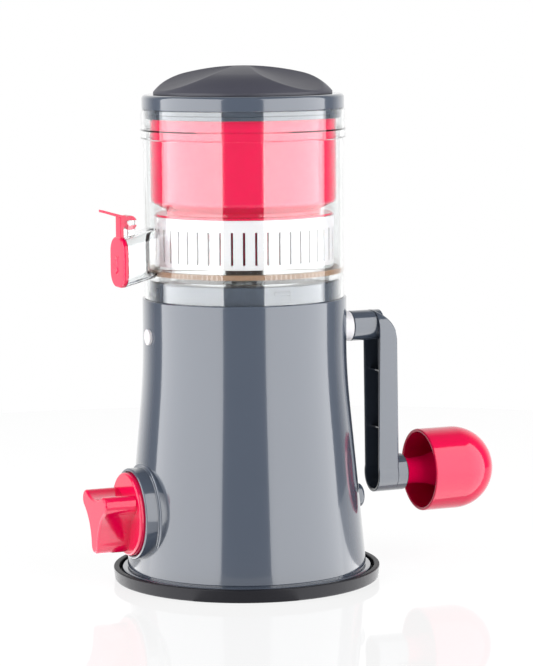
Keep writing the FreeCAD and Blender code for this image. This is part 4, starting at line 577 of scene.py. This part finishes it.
@dataclass
class Housing:
    """Grey shell: foot flange, cone, cylinder, spigot with lugs, and the collar of the suction knob."""

    foot_radius: float = 72.5
    flange_radius: float = 75.5
    flange_top: float = 7.6
    top_radius: float = 61.4
    top_height: float = 171.0
    bend_height: float = 126.9
    bend_turn: float = 430.9
    spigot_radius: float = 57.0
    deck_height: float = 182.0
    wall: float = 2.6
    drive_bore: float = 6.6
    drive_boss: float = 10.0
    drive_boss_floor: float = 170.5
    collar_bore: float = 25.3
    collar_floor: float = 71.0
    lug_half: float = 5.0
    lug_low: float = 176.6
    lug_high: float = 179.0

    def shell(self) -> None:
        """Build the turned shell, from the foot flange to the deck."""
        groove = self.foot_radius - 0.9
        bore = self.foot_radius - self.wall
        loop = rounded([
            (bore, 3.0), (self.flange_radius, 3.0), (self.flange_radius, self.flange_top, 0.9),
            (groove, self.flange_top, 0.2), (groove, self.flange_top + 0.9, 0.1),
            (self.foot_radius, self.flange_top + 0.9, 0.5),
            (self.top_radius, self.bend_height, self.bend_turn),
            (self.top_radius, self.top_height, 0.8), (self.spigot_radius, self.top_height, 0.5),
            (self.spigot_radius, self.deck_height, 1.2), (self.drive_bore, self.deck_height, 0.3),
            (self.drive_bore, self.drive_boss_floor), (self.drive_boss, self.drive_boss_floor),
            (self.drive_boss, self.deck_height - self.wall),
            (self.spigot_radius - self.wall, self.deck_height - self.wall),
            (self.spigot_radius - self.wall, self.top_height - self.wall),
            (self.top_radius - self.wall, self.top_height - self.wall),
            (self.top_radius - self.wall, self.bend_height),
        ])
        carry(turned("housing_shell", loop, Finish.GREY_GLOSS, segments=256), "base", "housing")

    def collar(self) -> None:
        """Build the collar that the suction knob turns in."""
        loop = rounded([
            (SHAFT_BORE, 60.0), (29.0, 60.0), (30.0, 67.0, 1.0), (27.3, 67.0, 0.6), (27.3, 75.0, 0.9),
            (self.collar_bore, 75.0, 0.7), (self.collar_bore, self.collar_floor, 0.4),
            (SHAFT_BORE, self.collar_floor),
        ])
        piece = turned("knob_collar", [(r, -reach) for r, reach in loop], Finish.GREY_GLOSS, Axis.X,
                       (0.0, 0.0, SUCTION_SHAFT_HEIGHT))
        carry(piece, "base", "housing")

    def lugs(self) -> None:
        """Build the four bayonet lugs round the spigot, their outer edges rounded."""
        outline = rounded([(-self.lug_half, self.lug_low, 0.5), (self.lug_half, self.lug_low, 0.5),
                           (self.lug_half, self.lug_high, 0.8), (-self.lug_half, self.lug_high, 0.8)], 3)
        for quarter in range(4):
            turn = math.pi / 2 * quarter
            rings = []
            for reach, shrink in ((56.0, 0.0), (57.5, 0.0), (57.7, 0.25)):
                angled = [(turn + y / self.spigot_radius, z) for y, z in inset(outline, shrink)]
                rings.append([(reach * math.cos(angle), reach * math.sin(angle), z) for angle, z in angled])
            carry(stacked(f"bayonet_lug_{quarter + 1}", rings, Finish.GREY_GLOSS), "base", "housing")

    def build(self) -> None:
        """Build the shell, the collar and the lugs."""
        self.shell()
        self.collar()
        self.lugs()


# ---- suction knob


@dataclass
class SuctionKnob:
    """Red knob: a round flange and a grip of three lobes with hollows between them."""

    height: float = SUCTION_SHAFT_HEIGHT
    lobe_circle: float = 17.0
    lobe_radius: float = 5.5
    scoop_floor: float = 10.5
    flange_radius: float = 25.0
    flange_reach: float = 78.0
    socket_reach: float = 76.0
    grip_start: float = -77.0
    grip_end: float = -98.0
    cap_radius: float = 8.3

    def outline(self) -> list[Point]:
        """Return the grip's outline as (y, z) points, anticlockwise."""
        end, floor, circle = self.lobe_radius, self.scoop_floor, self.lobe_circle
        scoop = (circle ** 2 + floor ** 2 - circle * floor - end ** 2) / (circle + 2 * end - 2 * floor)
        far = scoop + floor
        points: list[Point] = []
        for lobe in range(3):
            middle = math.radians(-90.0 + 120.0 * lobe)
            lobe_at = Vector((circle * math.cos(middle), circle * math.sin(middle)))
            for side in (-1, 1):
                hollow = middle + math.radians(60.0 * side)
                hollow_at = Vector((far * math.cos(hollow), far * math.sin(hollow)))
                way = hollow_at - lobe_at
                tangent = math.atan2(way.y, way.x)
                away = middle + ((tangent - middle + math.pi) % (2 * math.pi) - math.pi)
                if side < 0:
                    points += arc(tuple(lobe_at), end, math.degrees(away), math.degrees(middle), 8)[:-1]
                else:
                    points += arc(tuple(lobe_at), end, math.degrees(middle), math.degrees(away), 8)
                    back = math.degrees(math.atan2(-way.y, -way.x))
                    span = 2 * abs((math.degrees(hollow) + 180 - back + 180) % 360 - 180)
                    points += arc(tuple(hollow_at), scoop, back, back - span, 20)[1:-1]
        return [(y, z + self.height) for y, z in points]

    def build(self) -> None:
        """Build the flange, the grip and the cap in its end."""
        disc = rounded([
            (SHAFT_BORE, 71.3), (24.6, 71.3), (self.flange_radius, self.flange_reach, 1.3),
            (0.0, self.flange_reach), (0.0, self.socket_reach), (SHAFT_BORE, self.socket_reach),
        ])
        flange = turned("knob_flange", [(r, -reach) for r, reach in disc], Finish.RED_GLOSS, Axis.X,
                        (0.0, 0.0, self.height))
        carry(flange, "suction_drive", "suction_knob")
        grip = drawn_out("knob_grip", self.outline(), (self.grip_start, self.grip_end), (0.0, 1.4),
                         Finish.RED_GLOSS)
        carry(grip, "suction_drive", "suction_knob")
        cap = rounded([(0.0, -97.0), (self.cap_radius, -97.0), (8.45, -97.9, 0.5), (0.0, -97.98)])
        piece = turned("knob_cap_disc", cap, Finish.GREY_MATTE, Axis.X, (0.0, 0.0, self.height), 96)
        carry(piece, "suction_drive", "knob_cap")


# ---- crank knob


@dataclass
class CrankKnob:
    """Red bell with a trumpet-shaped hub inside."""

    height: float = GRIP_HEIGHT
    rim: float = 116.5
    radius: float = 25.5
    wall: float = 2.0
    shoulder: float = 139.3
    hub_start: float = 105.3
    hub_radius: float = 8.0
    flare_start: float = 110.0
    flare_length: float = 24.0
    flare_width: float = 6.2
    flare_power: float = 2.2
    inner_start: float = 53.0
    bore_end: float = 148.3

    def build(self) -> None:
        """Build the bell and its hub as one turned skin."""
        inner = self.radius - self.wall
        loop = [(GRIP_BORE, self.hub_start), (8.2, self.hub_start), (8.7, self.hub_start + 0.5)]
        for k in range(13):
            share = k / 12
            loop.append((self.hub_radius + self.flare_width * share ** self.flare_power,
                         self.flare_start + self.flare_length * share))
        meet = self.shoulder + math.sqrt(inner ** 2 - (self.hub_radius + self.flare_width) ** 2)
        loop.append((14.3, meet - 4))
        for k in range(17):
            angle = math.radians(self.inner_start - self.inner_start * k / 16)
            loop.append((inner * math.cos(angle), self.shoulder + inner * math.sin(angle)))
        loop += rounded([(inner, self.shoulder - 1), (inner, self.rim, 0.8), (self.radius, self.rim, 0.9),
                         (self.radius, self.shoulder - 1)])[1:-1]
        for k in range(33):
            angle = math.pi / 2 * k / 32
            loop.append((self.radius * math.cos(angle) if k < 32 else 0.0,
                         self.shoulder + self.radius * math.sin(angle)))
        loop += [(0.0, self.bore_end), (GRIP_BORE, self.bore_end)]
        piece = turned("crank_bell", loop, Finish.RED_GLOSS, Axis.X, (0.0, 0.0, self.height))
        carry(piece, "grip", "crank_knob")


# ---- crank arm


@dataclass
class CrankArm:
    """Grey arm: a channel open towards the housing with two ribs, the axle boss and the knob boss."""

    head: float = 146.4
    head_radius: float = 12.4
    foot: float = GRIP_HEIGHT
    foot_radius: float = 11.4
    neck: float = 10.6
    inner: float = 84.3
    depth: float = 9.6
    wall: float = 2.0
    edge: float = 1.6
    face: float = 96.5
    lean_out: float = 2.0
    bend_start: float = 139.8
    bend_turn: float = 20.9
    straight_end: float = 45.4
    hollow_top: float = 144.0
    axle_height: float = 149.4
    axle_bore: float = 4.75

    def outline(self, shrink: float = 0.0) -> list[Point]:
        """Return the arm's outline as anticlockwise (y, z) points.

        Args:
            shrink: how far inside the outer faces.
        """
        rise = math.sqrt(self.foot_radius ** 2 - self.neck ** 2)
        lean = math.degrees(math.atan2(rise, self.neck))
        head = arc((0.0, self.head), self.head_radius - shrink, 0.0, 180.0, 36)
        foot = arc((0.0, self.foot), self.foot_radius - shrink, 180.0 - lean, 360.0 + lean, 40)
        return head + between(head[-1], foot[0], 16) + foot + between(foot[-1], head[0], 16)

    def outer_reach(self, height: float) -> float:
        """Return the outer face's x at a height.

        Args:
            height: height in millimetres.
        """
        if height > self.bend_start:
            rise = min(height - self.bend_start, self.bend_turn)
            return self.face - self.bend_turn + math.sqrt(self.bend_turn ** 2 - rise ** 2)
        share = (self.bend_start - height) / (self.bend_start - self.straight_end)
        return self.face + self.lean_out * share

    def channel(self) -> None:
        """Build the channel: outer skin, rim and hollow in one."""
        outer = self.outline()
        hollow = self.outline(self.wall)
        floor = self.inner + self.depth
        sections: list[list[Point3]] = []
        for move, x in ((0.6, floor), (0.0, floor - 0.6), (0.0, self.inner + 0.5), (-0.3, self.inner + 0.15),
                        (-0.6, self.inner)):
            ring = inset(hollow, move) if move else hollow
            sections.append([(x, y, min(z, self.hollow_top)) for y, z in ring])
        for move, x in ((0.5, self.inner), (0.15, self.inner + 0.15), (0.0, self.inner + 0.5)):
            sections.append([(x, y, z) for y, z in (inset(outer, move) if move else outer)])
        for back, side in edge_steps(self.edge, 6):
            sections.append([(self.outer_reach(z) - back, y, z) for y, z in inset(outer, side)])
        carry(stacked("arm_channel", sections, Finish.GREY_GLOSS), "crank", "crank_arm")

    def ribs(self) -> None:
        """Build the two cross ribs in the hollow."""
        for name, height, half in (("upper", 120.3, 9.9), ("lower", 84.8, 9.2)):
            outline = rounded([(-half, height), (half, height), (half, height + 1.2, 0.3),
                               (-half, height + 1.2, 0.3)], 3)
            piece = drawn_out(f"arm_rib_{name}", outline, (self.inner + 3.6, self.inner + self.depth + 0.5),
                              (0.3, 0.0), Finish.GREY_GLOSS, 3)
            carry(piece, "crank", "crank_arm")

    def bosses(self) -> None:
        """Build the axle boss and the knob boss."""
        head = rounded([(self.axle_bore, 69.0, 0.3), (9.3, 69.0, 0.7), (9.3, 89.0), (self.axle_bore, 89.0)])
        piece = turned("arm_axle_boss", head, Finish.GREY_GLOSS, Axis.X, (0.0, 0.0, self.axle_height), 128)
        carry(piece, "crank", "crank_arm")
        radius = self.foot_radius - 0.05
        foot = rounded([(GRIP_BORE, 97.5), (radius, 97.5), (radius, 104.5, 0.9), (GRIP_BORE, 104.5, 0.3)])
        piece = turned("arm_knob_boss", foot, Finish.GREY_GLOSS, Axis.X, (0.0, 0.0, self.foot), 128)
        carry(piece, "crank", "crank_arm")

    def build(self) -> None:
        """Build the channel, its ribs and both bosses."""
        self.channel()
        self.ribs()
        self.bosses()


# ---- lid


@dataclass
class Lid:
    """Grey gloss band with a shelf, and the matte dome with three finger scoops."""

    radius: float = 60.5
    shelf: float = 292.5
    dome_radius: float = 53.5
    dome_edge: float = 294.0
    dome_top: float = 309.3
    break_radius: float = 35.3
    break_height: float = 305.2
    shoulder: float = 32.8
    scoop_start: float = 6.0
    scoop_start_height: float = 308.9
    scoop_end: float = 46.0
    scoop_end_height: float = 297.05
    scoop_spread: float = 74.0
    first_scoop: float = -59.0
    ridge_softness: float = 0.35
    band_bore: float = 56.3
    skirt_radius: float = 58.7
    skirt_bottom: float = 278.3
    band_bottom: float = 283.7
    shelf_radius: float = 48.0
    shelf_under: float = 290.0
    plug_radius: float = 47.6
    plug_bore: float = 45.9
    plug_bottom: float = 287.0
    ceiling: float = 301.1

    def band(self) -> None:
        """Build the band, its skirt and the shelf."""
        loop = rounded([
            (self.band_bore, self.skirt_bottom, 0.4), (self.skirt_radius, self.skirt_bottom, 0.5),
            (self.skirt_radius, 280.6), (58.3, 280.9), (self.skirt_radius, 281.2),
            (self.skirt_radius, self.band_bottom), (self.radius, self.band_bottom, 0.6),
            (self.radius, self.shelf, 2.4), (self.shelf_radius, self.shelf),
            (self.shelf_radius, self.shelf_under), (self.band_bore, self.shelf_under),
        ], 8)
        carry(turned("lid_band", loop, Finish.GREY_GLOSS, segments=256), "lid", "lid_ring")

    def plain_height(self, radius: float) -> float:
        """Return the dome's height without scoops.

        Args:
            radius: distance from the axis.
        """
        if radius <= self.break_radius:
            sag = self.dome_top - self.break_height
            crown = (self.break_radius ** 2 + sag ** 2) / (2 * sag)
            return self.dome_top - crown + math.sqrt(crown ** 2 - radius ** 2)
        first = Vector((self.break_radius, self.break_height))
        last = Vector((self.dome_radius, self.dome_edge))
        half = (last - first).length / 2
        back = Vector((first.y - last.y, last.x - first.x)).normalized() * -1.0
        middle = (first + last) / 2 + back * math.sqrt(self.shoulder ** 2 - half ** 2)
        return middle.y + math.sqrt(max(self.shoulder ** 2 - (radius - middle.x) ** 2, 0.0))

    def scoop_height(self, reach: float, side: float) -> float:
        """Return the height of a scoop's floor.

        Args:
            reach: distance along the scoop from the axis.
            side: distance across it.
        """
        slope = math.atan2(self.scoop_end_height - self.scoop_start_height,
                           self.scoop_end - self.scoop_start)
        spread = math.radians(self.scoop_spread)
        lean = slope + spread
        dx, dz = math.cos(lean), math.sin(lean)
        limit = math.cos(spread) ** 2
        u = reach - self.scoop_start
        a = dz * dz - limit
        b = 2 * u * dx * dz
        c = u * u * dx * dx - limit * (u * u + side * side)
        under = b * b - 4 * a * c
        if under < 0 or u <= 0:
            return NO_SCOOP
        roots = [(-b - math.sqrt(under)) / (2 * a), (-b + math.sqrt(under)) / (2 * a)]
        good = [r for r in roots if u * dx + r * dz > 0]
        return self.scoop_start_height + min(good) if good else NO_SCOOP

    def height(self, radius: float, angle: float) -> float:
        """Return the dome's height with its scoops, the ridges slightly rounded.

        Args:
            radius: distance from the axis.
            angle: direction in radians.
        """
        value = self.plain_height(radius)
        soft = self.ridge_softness
        for n in range(3):
            turn = angle - math.radians(self.first_scoop + 120.0 * n)
            if math.cos(turn) <= 0:
                continue
            scoop = self.scoop_height(radius * math.cos(turn), radius * math.sin(turn))
            gap = max(soft - abs(value - scoop), 0.0) / soft
            value = min(value, scoop) - gap * gap * soft / 4
        return value

    def dome(self) -> None:
        """Build the dome: its scooped top, the plug inside the band and the plain underside."""
        segments = 360
        turns = [2 * math.pi * k / segments for k in range(segments)]
        radii = [float(k) for k in range(1, 36)]
        radii += [self.break_radius + k * 0.7 for k in range(26)] + [53.2, self.dome_radius]
        seat = self.shelf + 0.15
        under = ((self.dome_radius, seat), (self.plug_radius, seat), (self.plug_radius, self.plug_bottom),
                 (self.plug_bore, self.plug_bottom), (self.plug_bore, 294.6), (self.break_radius, 297.1))
        levels = [(radius, [self.height(radius, turn) for turn in turns]) for radius in radii]
        levels += [(radius, [height] * segments) for radius, height in under]
        points: list[Point3] = [(0.0, 0.0, self.height(0.0, 0.0))]
        rings = [[0] * segments]
        for radius, heights in levels:
            rings.append(list(range(len(points), len(points) + segments)))
            points += [place_on(Axis.Z, radius, turn, z, (0.0, 0.0, 0.0)) for turn, z in zip(turns, heights)]
        points.append((0.0, 0.0, self.ceiling))
        rings.append([len(points) - 1] * segments)
        faces = [face for ring, other in zip(rings, rings[1:]) for face in joined(ring, other)]
        carry(make_piece("dome", points, faces, Finish.GREY_MATTE, 40.0), "lid", "lid_dome")

    def build(self) -> None:
        """Build the band and the dome."""
        self.band()
        self.dome()


# ---- spout cap


@dataclass
class SpoutCap:
    """Red flap over the spout: plate with a thumb dimple, stem, claw and lever tab."""

    middle: float = 194.9
    half_width: float = 12.15
    half_height: float = 14.95
    corner: float = 9.15
    inner: float = 78.15
    wall: float = 3.0
    edge: float = 1.2
    dimple_drop: float = 1.5
    pin: Point = (-74.0, 218.3)
    pin_radius: float = 1.65
    claw_radius: float = 4.3

    def plate(self) -> None:
        """Build the plate; its outer face has a round dimple with a raised rim."""
        w, h = self.half_width, self.half_height
        corners = [(a * w, b * h, self.corner) for a, b in ((1, -1), (1, 1), (-1, 1), (-1, -1))]
        outline = [(y, z + self.middle) for y, z in rounded(corners, 12)]
        sections: list[list[Point3]] = []
        for x, shrink in ((self.inner, 0.5), (self.inner + 0.15, 0.15), (self.inner + 0.5, 0.0)):
            sections.append([(-x, y, z) for y, z in inset(outline, shrink)])
        face = self.inner + self.wall
        for back, side in edge_steps(self.edge, 6):
            sections.append([(back - face, y, z) for y, z in inset(outline, side)])
        centre = (0.0, self.middle - self.dimple_drop)
        last = sections[-1]
        for share, depth, radius in ((0.35, 0.0, 5.8), (0.0, 0.0, 5.8), (0.0, 0.35, 5.4), (0.0, 1.1, 4.6),
                                     (0.0, 1.4, 3.4)):
            ring = []
            for _, y, z in last:
                angle = math.atan2(z - centre[1], y - centre[0])
                at = (centre[0] + radius * math.cos(angle), centre[1] + radius * math.sin(angle))
                ring.append((-(face - depth), y * share + at[0] * (1 - share),
                             z * share + at[1] * (1 - share)))
            sections.append(ring)
        carry(stacked("cap_plate", sections, Finish.RED_GLOSS), "cap", "spout_cap")

    def claw(self) -> None:
        """Build the stem, the claw round the pin and the lever tab from one side outline."""
        side = [(-78.15, 203.0), (-80.15, 203.0), (-80.15, 221.5), (-90.6, 224.7), (-90.6, 226.2),
                (-80.0, 223.2), (-79.0, 223.0)]
        outer = arc(self.pin, self.claw_radius, 120.0, 20.0, 12)
        gap = arc(self.pin, self.pin_radius, 60.0, 300.0, 24)
        lower = arc(self.pin, self.claw_radius, -20.0, -150.0, 14)
        loop = side + [(-77.0, 222.6)] + outer + gap + lower + [(-78.15, 215.0)]
        sections = []
        for y, shrink in ((-4.3, 0.35), (-4.2, 0.1), (-3.9, 0.0), (3.9, 0.0), (4.2, 0.1), (4.3, 0.35)):
            sections.append([(x, y, z) for x, z in inset(loop[::-1], shrink)])
        carry(stacked("cap_claw", sections, Finish.RED_GLOSS), "cap", "spout_cap")

    def build(self) -> None:
        """Build the plate and the claw."""
        self.plate()
        self.claw()


# ---- hopper


@dataclass
class Hopper:
    """Red cup that turns in to a neck and stands on the strainer with a flange."""

    radius: float = 55.5
    top: float = 282.0
    wall: float = 2.0
    neck_bore: float = 44.5
    neck_radius: float = 46.5
    flange_radius: float = 53.0
    flange_low: float = 220.5
    flange_high: float = 221.7

    def build(self) -> None:
        """Build the hopper."""
        bore = self.radius - self.wall
        loop = rounded([
            (self.neck_bore, self.flange_low), (self.flange_radius, self.flange_low, 0.3),
            (self.flange_radius, self.flange_high, 0.4), (self.neck_radius, self.flange_high, 0.6),
            (self.neck_radius, 224.2, 1.5), (self.radius, 228.5, 3.0), (self.radius, self.top, 0.8),
            (bore, self.top, 0.7), (bore, 229.5, 3.0), (self.neck_bore, 225.2, 2.0),
        ], 8)
        carry(turned("hopper_cup", loop, Finish.RED_GLOSS, segments=256), "bowl_group", "hopper")


# CAD nodes that keep their own meshes and only get a finish.
DRESSED: dict[Finish, tuple[str, ...]] = {
    Finish.GREY_MATTE: ("base_plate",),
    Finish.GREY_GLOSS: ("shaft_end_cap",),
    Finish.RED_GLOSS: ("auger",),
    Finish.CLEAR: ("bowl",),
    Finish.SILICONE: ("bowl_gasket", "shaft_seal"),
    Finish.WHITE: ("axle_bush", "deck_bush", "lift_yoke", "suction_cam", "crank_axle", "bevel_pinion",
                   "bevel_wheel", "thrust_ring", "strainer"),
    Finish.STEEL: ("base_screws", "cam_pin", "suction_shaft", "knob_screw", "pinion_pin", "crank_screw",
                   "grip_axle", "grip_washer", "drive_shaft", "shaft_clip"),
}


def dress_nodes() -> None:
    """Give each carried-over node its finish."""
    for finish, names in DRESSED.items():
        for name in names:
            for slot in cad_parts[name].material_slots:
                slot.material = finish.material()
        LOG.info("dressed %s in %s", ", ".join(names), finish.value.name)


# ---- studio


@dataclass
class Studio:
    """Pale floor, two tall softboxes, bright surroundings behind the object and the camera."""

    azimuth: float = math.radians(-23.0)
    tilt: float = math.radians(6.77)
    roll: float = math.radians(0.44)
    distance: float = 1.664
    height: float = 0.3461
    shift_right: float = 0.0131
    lens: float = 150.3
    floor_reach: float = 0.72
    panel_start: float = 23.0
    panel_end: float = 104.0
    # painted reflection: extra floor glow in the softboxes' sector, seen only by glossy rays
    painted_panel_glow: float = 2.7
    panel_distance: float = 0.885
    panel_centre: float = 0.35
    panel_tall: float = 1.9
    panel_power: float = 32.0
    rear_start: float = 0.45
    rear_end: float = 0.85
    rear_dim: float = 0.20
    through_glow: float = 0.85
    floor_glow: float = 0.92
    floor_grey: float = 0.12
    floor_mirror: float = 0.16

    def towards(self, turn: float) -> Vector:
        """Return the level direction from the object, turned from the camera's side (+ = to its right).

        Args:
            turn: angle in degrees.
        """
        angle = self.azimuth + math.radians(turn)
        return Vector((math.sin(angle), -math.cos(angle), 0.0))

    def camera(self) -> None:
        """Make the camera."""
        right = Vector((math.cos(self.azimuth), math.sin(self.azimuth), 0.0))
        place = self.towards(0.0) * self.distance + right * self.shift_right
        place.z = self.height
        forward = -self.towards(0.0) * math.cos(self.tilt) - Vector((0, 0, math.sin(self.tilt)))
        turn = forward.to_track_quat("-Z", "Y")
        data = bpy.data.cameras.new("camera")
        data.lens = self.lens
        data.sensor_width = 36.0
        data.clip_start, data.clip_end = 0.05, 50.0
        item = bpy.data.objects.new("camera", data)
        item.rotation_mode = "QUATERNION"
        item.location = place
        item.rotation_quaternion = Quaternion(forward, self.roll) @ turn
        bpy.context.scene.collection.objects.link(item)
        bpy.context.scene.camera = item

    def panel(self, name: str, place: Vector, aim: Vector, size: Point, power: float) -> None:
        """Make a softbox.

        Args:
            name: name of the light.
            place: its centre.
            aim: point that it faces.
            size: width and height.
            power: watts.
        """
        data = bpy.data.lights.new(name, "AREA")
        data.shape = "RECTANGLE"
        data.size, data.size_y = size
        data.energy = power
        item = bpy.data.objects.new(name, data)
        item.rotation_mode = "QUATERNION"
        item.location = place
        item.rotation_quaternion = (aim - place).to_track_quat("-Z", "Y")
        item.visible_camera = False
        bpy.context.scene.collection.objects.link(item)

    def lights(self) -> None:
        """Make the softboxes and the surroundings."""
        aim = Vector((0, 0, self.panel_centre))
        half = math.tan(math.radians(self.panel_end - self.panel_start) / 2) * self.panel_distance
        for name, side in (("softbox_left", -1), ("softbox_right", 1)):
            turn = (self.panel_start + self.panel_end) / 2 * side
            place = self.towards(turn) * self.panel_distance + aim
            self.panel(name, place, aim, (2 * half, self.panel_tall), self.panel_power)
        world = bpy.data.worlds.new("surroundings")
        world.use_nodes = True
        tree = world.node_tree
        backdrop = tree.nodes["Background"]
        backdrop.inputs["Color"].default_value = (1.0, 1.0, 1.0, 1.0)
        place = tree.nodes.new("ShaderNodeTexCoord")
        along = tree.nodes.new("ShaderNodeVectorMath")
        along.operation = "DOT_PRODUCT"
        tree.links.new(place.outputs["Generated"], along.inputs[0])
        along.inputs[1].default_value = -self.towards(0.0)
        rear = tree.nodes.new("ShaderNodeMapRange")
        rear.interpolation_type = "SMOOTHSTEP"
        for name, value in (("From Min", self.rear_start), ("From Max", self.rear_end),
                            ("To Min", self.rear_dim), ("To Max", 1.0)):
            rear.inputs[name].default_value = value
        tree.links.new(along.outputs["Value"], rear.inputs["Value"])
        seen = tree.nodes.new("ShaderNodeLightPath")
        direct = maths(tree, "LESS_THAN", seen.outputs["Glossy Depth"], 0.5)
        through = maths(tree, "MULTIPLY", seen.outputs["Is Transmission Ray"], direct)
        through = maths(tree, "MULTIPLY", through, self.through_glow)
        strength = maths(tree, "MAXIMUM", seen.outputs["Is Camera Ray"], rear.outputs["Result"])
        strength = maths(tree, "MAXIMUM", strength, through)
        tree.links.new(strength, backdrop.inputs["Strength"])
        bpy.context.scene.world = world
        bpy.context.scene.view_settings.view_transform = "Standard"

    def floor_material(self) -> bpy.types.Material:
        """Return the floor's material: a bright pale sheet with a faint mirror, plus a painted reflection: a
        brighter glow in the softboxes' sector that only glossy rays see.
        """
        made = bpy.data.materials.new("pale_floor")
        made.use_nodes = True
        tree = made.node_tree
        sheet = tree.nodes["Principled BSDF"]
        sheet.inputs["Base Color"].default_value = (self.floor_grey,) * 3 + (1.0,)
        sheet.inputs["Roughness"].default_value = 0.9
        sheet.inputs["Specular IOR Level"].default_value = 0.0
        sheet.inputs["Emission Color"].default_value = (1.0, 1.0, 1.0, 1.0)
        place = tree.nodes.new("ShaderNodeTexCoord")
        level = tree.nodes.new("ShaderNodeVectorMath")
        level.operation = "NORMALIZE"
        tree.links.new(place.outputs["Object"], level.inputs[0])
        ahead = tree.nodes.new("ShaderNodeVectorMath")
        ahead.operation = "DOT_PRODUCT"
        tree.links.new(level.outputs["Vector"], ahead.inputs[0])
        ahead.inputs[1].default_value = self.towards(0.0)
        # Painted reflection: in the softboxes' sector the floor glows brighter, and only glossy rays see it,
        # so shiny parts reflect a bright floor there.
        first, last = [math.cos(math.radians(turn)) for turn in (self.panel_start, self.panel_end)]
        before = maths(tree, "LESS_THAN", ahead.outputs["Value"], first)
        after = maths(tree, "GREATER_THAN", ahead.outputs["Value"], last)
        seen = tree.nodes.new("ShaderNodeLightPath")
        sector = maths(tree, "MULTIPLY", before, after)
        painted_reflection_mask = maths(tree, "MULTIPLY", sector, seen.outputs["Is Glossy Ray"])
        glow = maths(tree, "MULTIPLY_ADD", painted_reflection_mask, self.painted_panel_glow, self.floor_glow)
        tree.links.new(glow, sheet.inputs["Emission Strength"])
        mirror = tree.nodes.new("ShaderNodeBsdfGlossy")
        mirror.inputs["Roughness"].default_value = 0.04
        both = tree.nodes.new("ShaderNodeMixShader")
        both.inputs["Fac"].default_value = self.floor_mirror
        tree.links.new(sheet.outputs["BSDF"], both.inputs[1])
        tree.links.new(mirror.outputs["BSDF"], both.inputs[2])
        tree.links.new(both.outputs["Shader"], tree.nodes["Material Output"].inputs["Surface"])
        return made

    def floor(self) -> None:
        """Make the pale floor."""
        mesh = bpy.data.meshes.new("floor")
        count = 96
        turns = [2 * math.pi * k / count for k in range(count)]
        rim = [(self.floor_reach * math.cos(turn), self.floor_reach * math.sin(turn), 0.0) for turn in turns]
        mesh.from_pydata(rim, [], [tuple(range(count))])
        item = bpy.data.objects.new("floor", mesh)
        bpy.context.scene.collection.objects.link(item)
        mesh.materials.append(self.floor_material())


def main() -> None:
    """Build the whole scene in order."""
    studio = Studio()
    studio.camera()
    studio.lights()
    studio.floor()
    for part in (Foot(), Housing(), SuctionKnob(), CrankKnob(), CrankArm(), Lid(), SpoutCap(), Hopper()):
        part.build()
    dress_nodes()


if __name__ == "__main__":
    main()
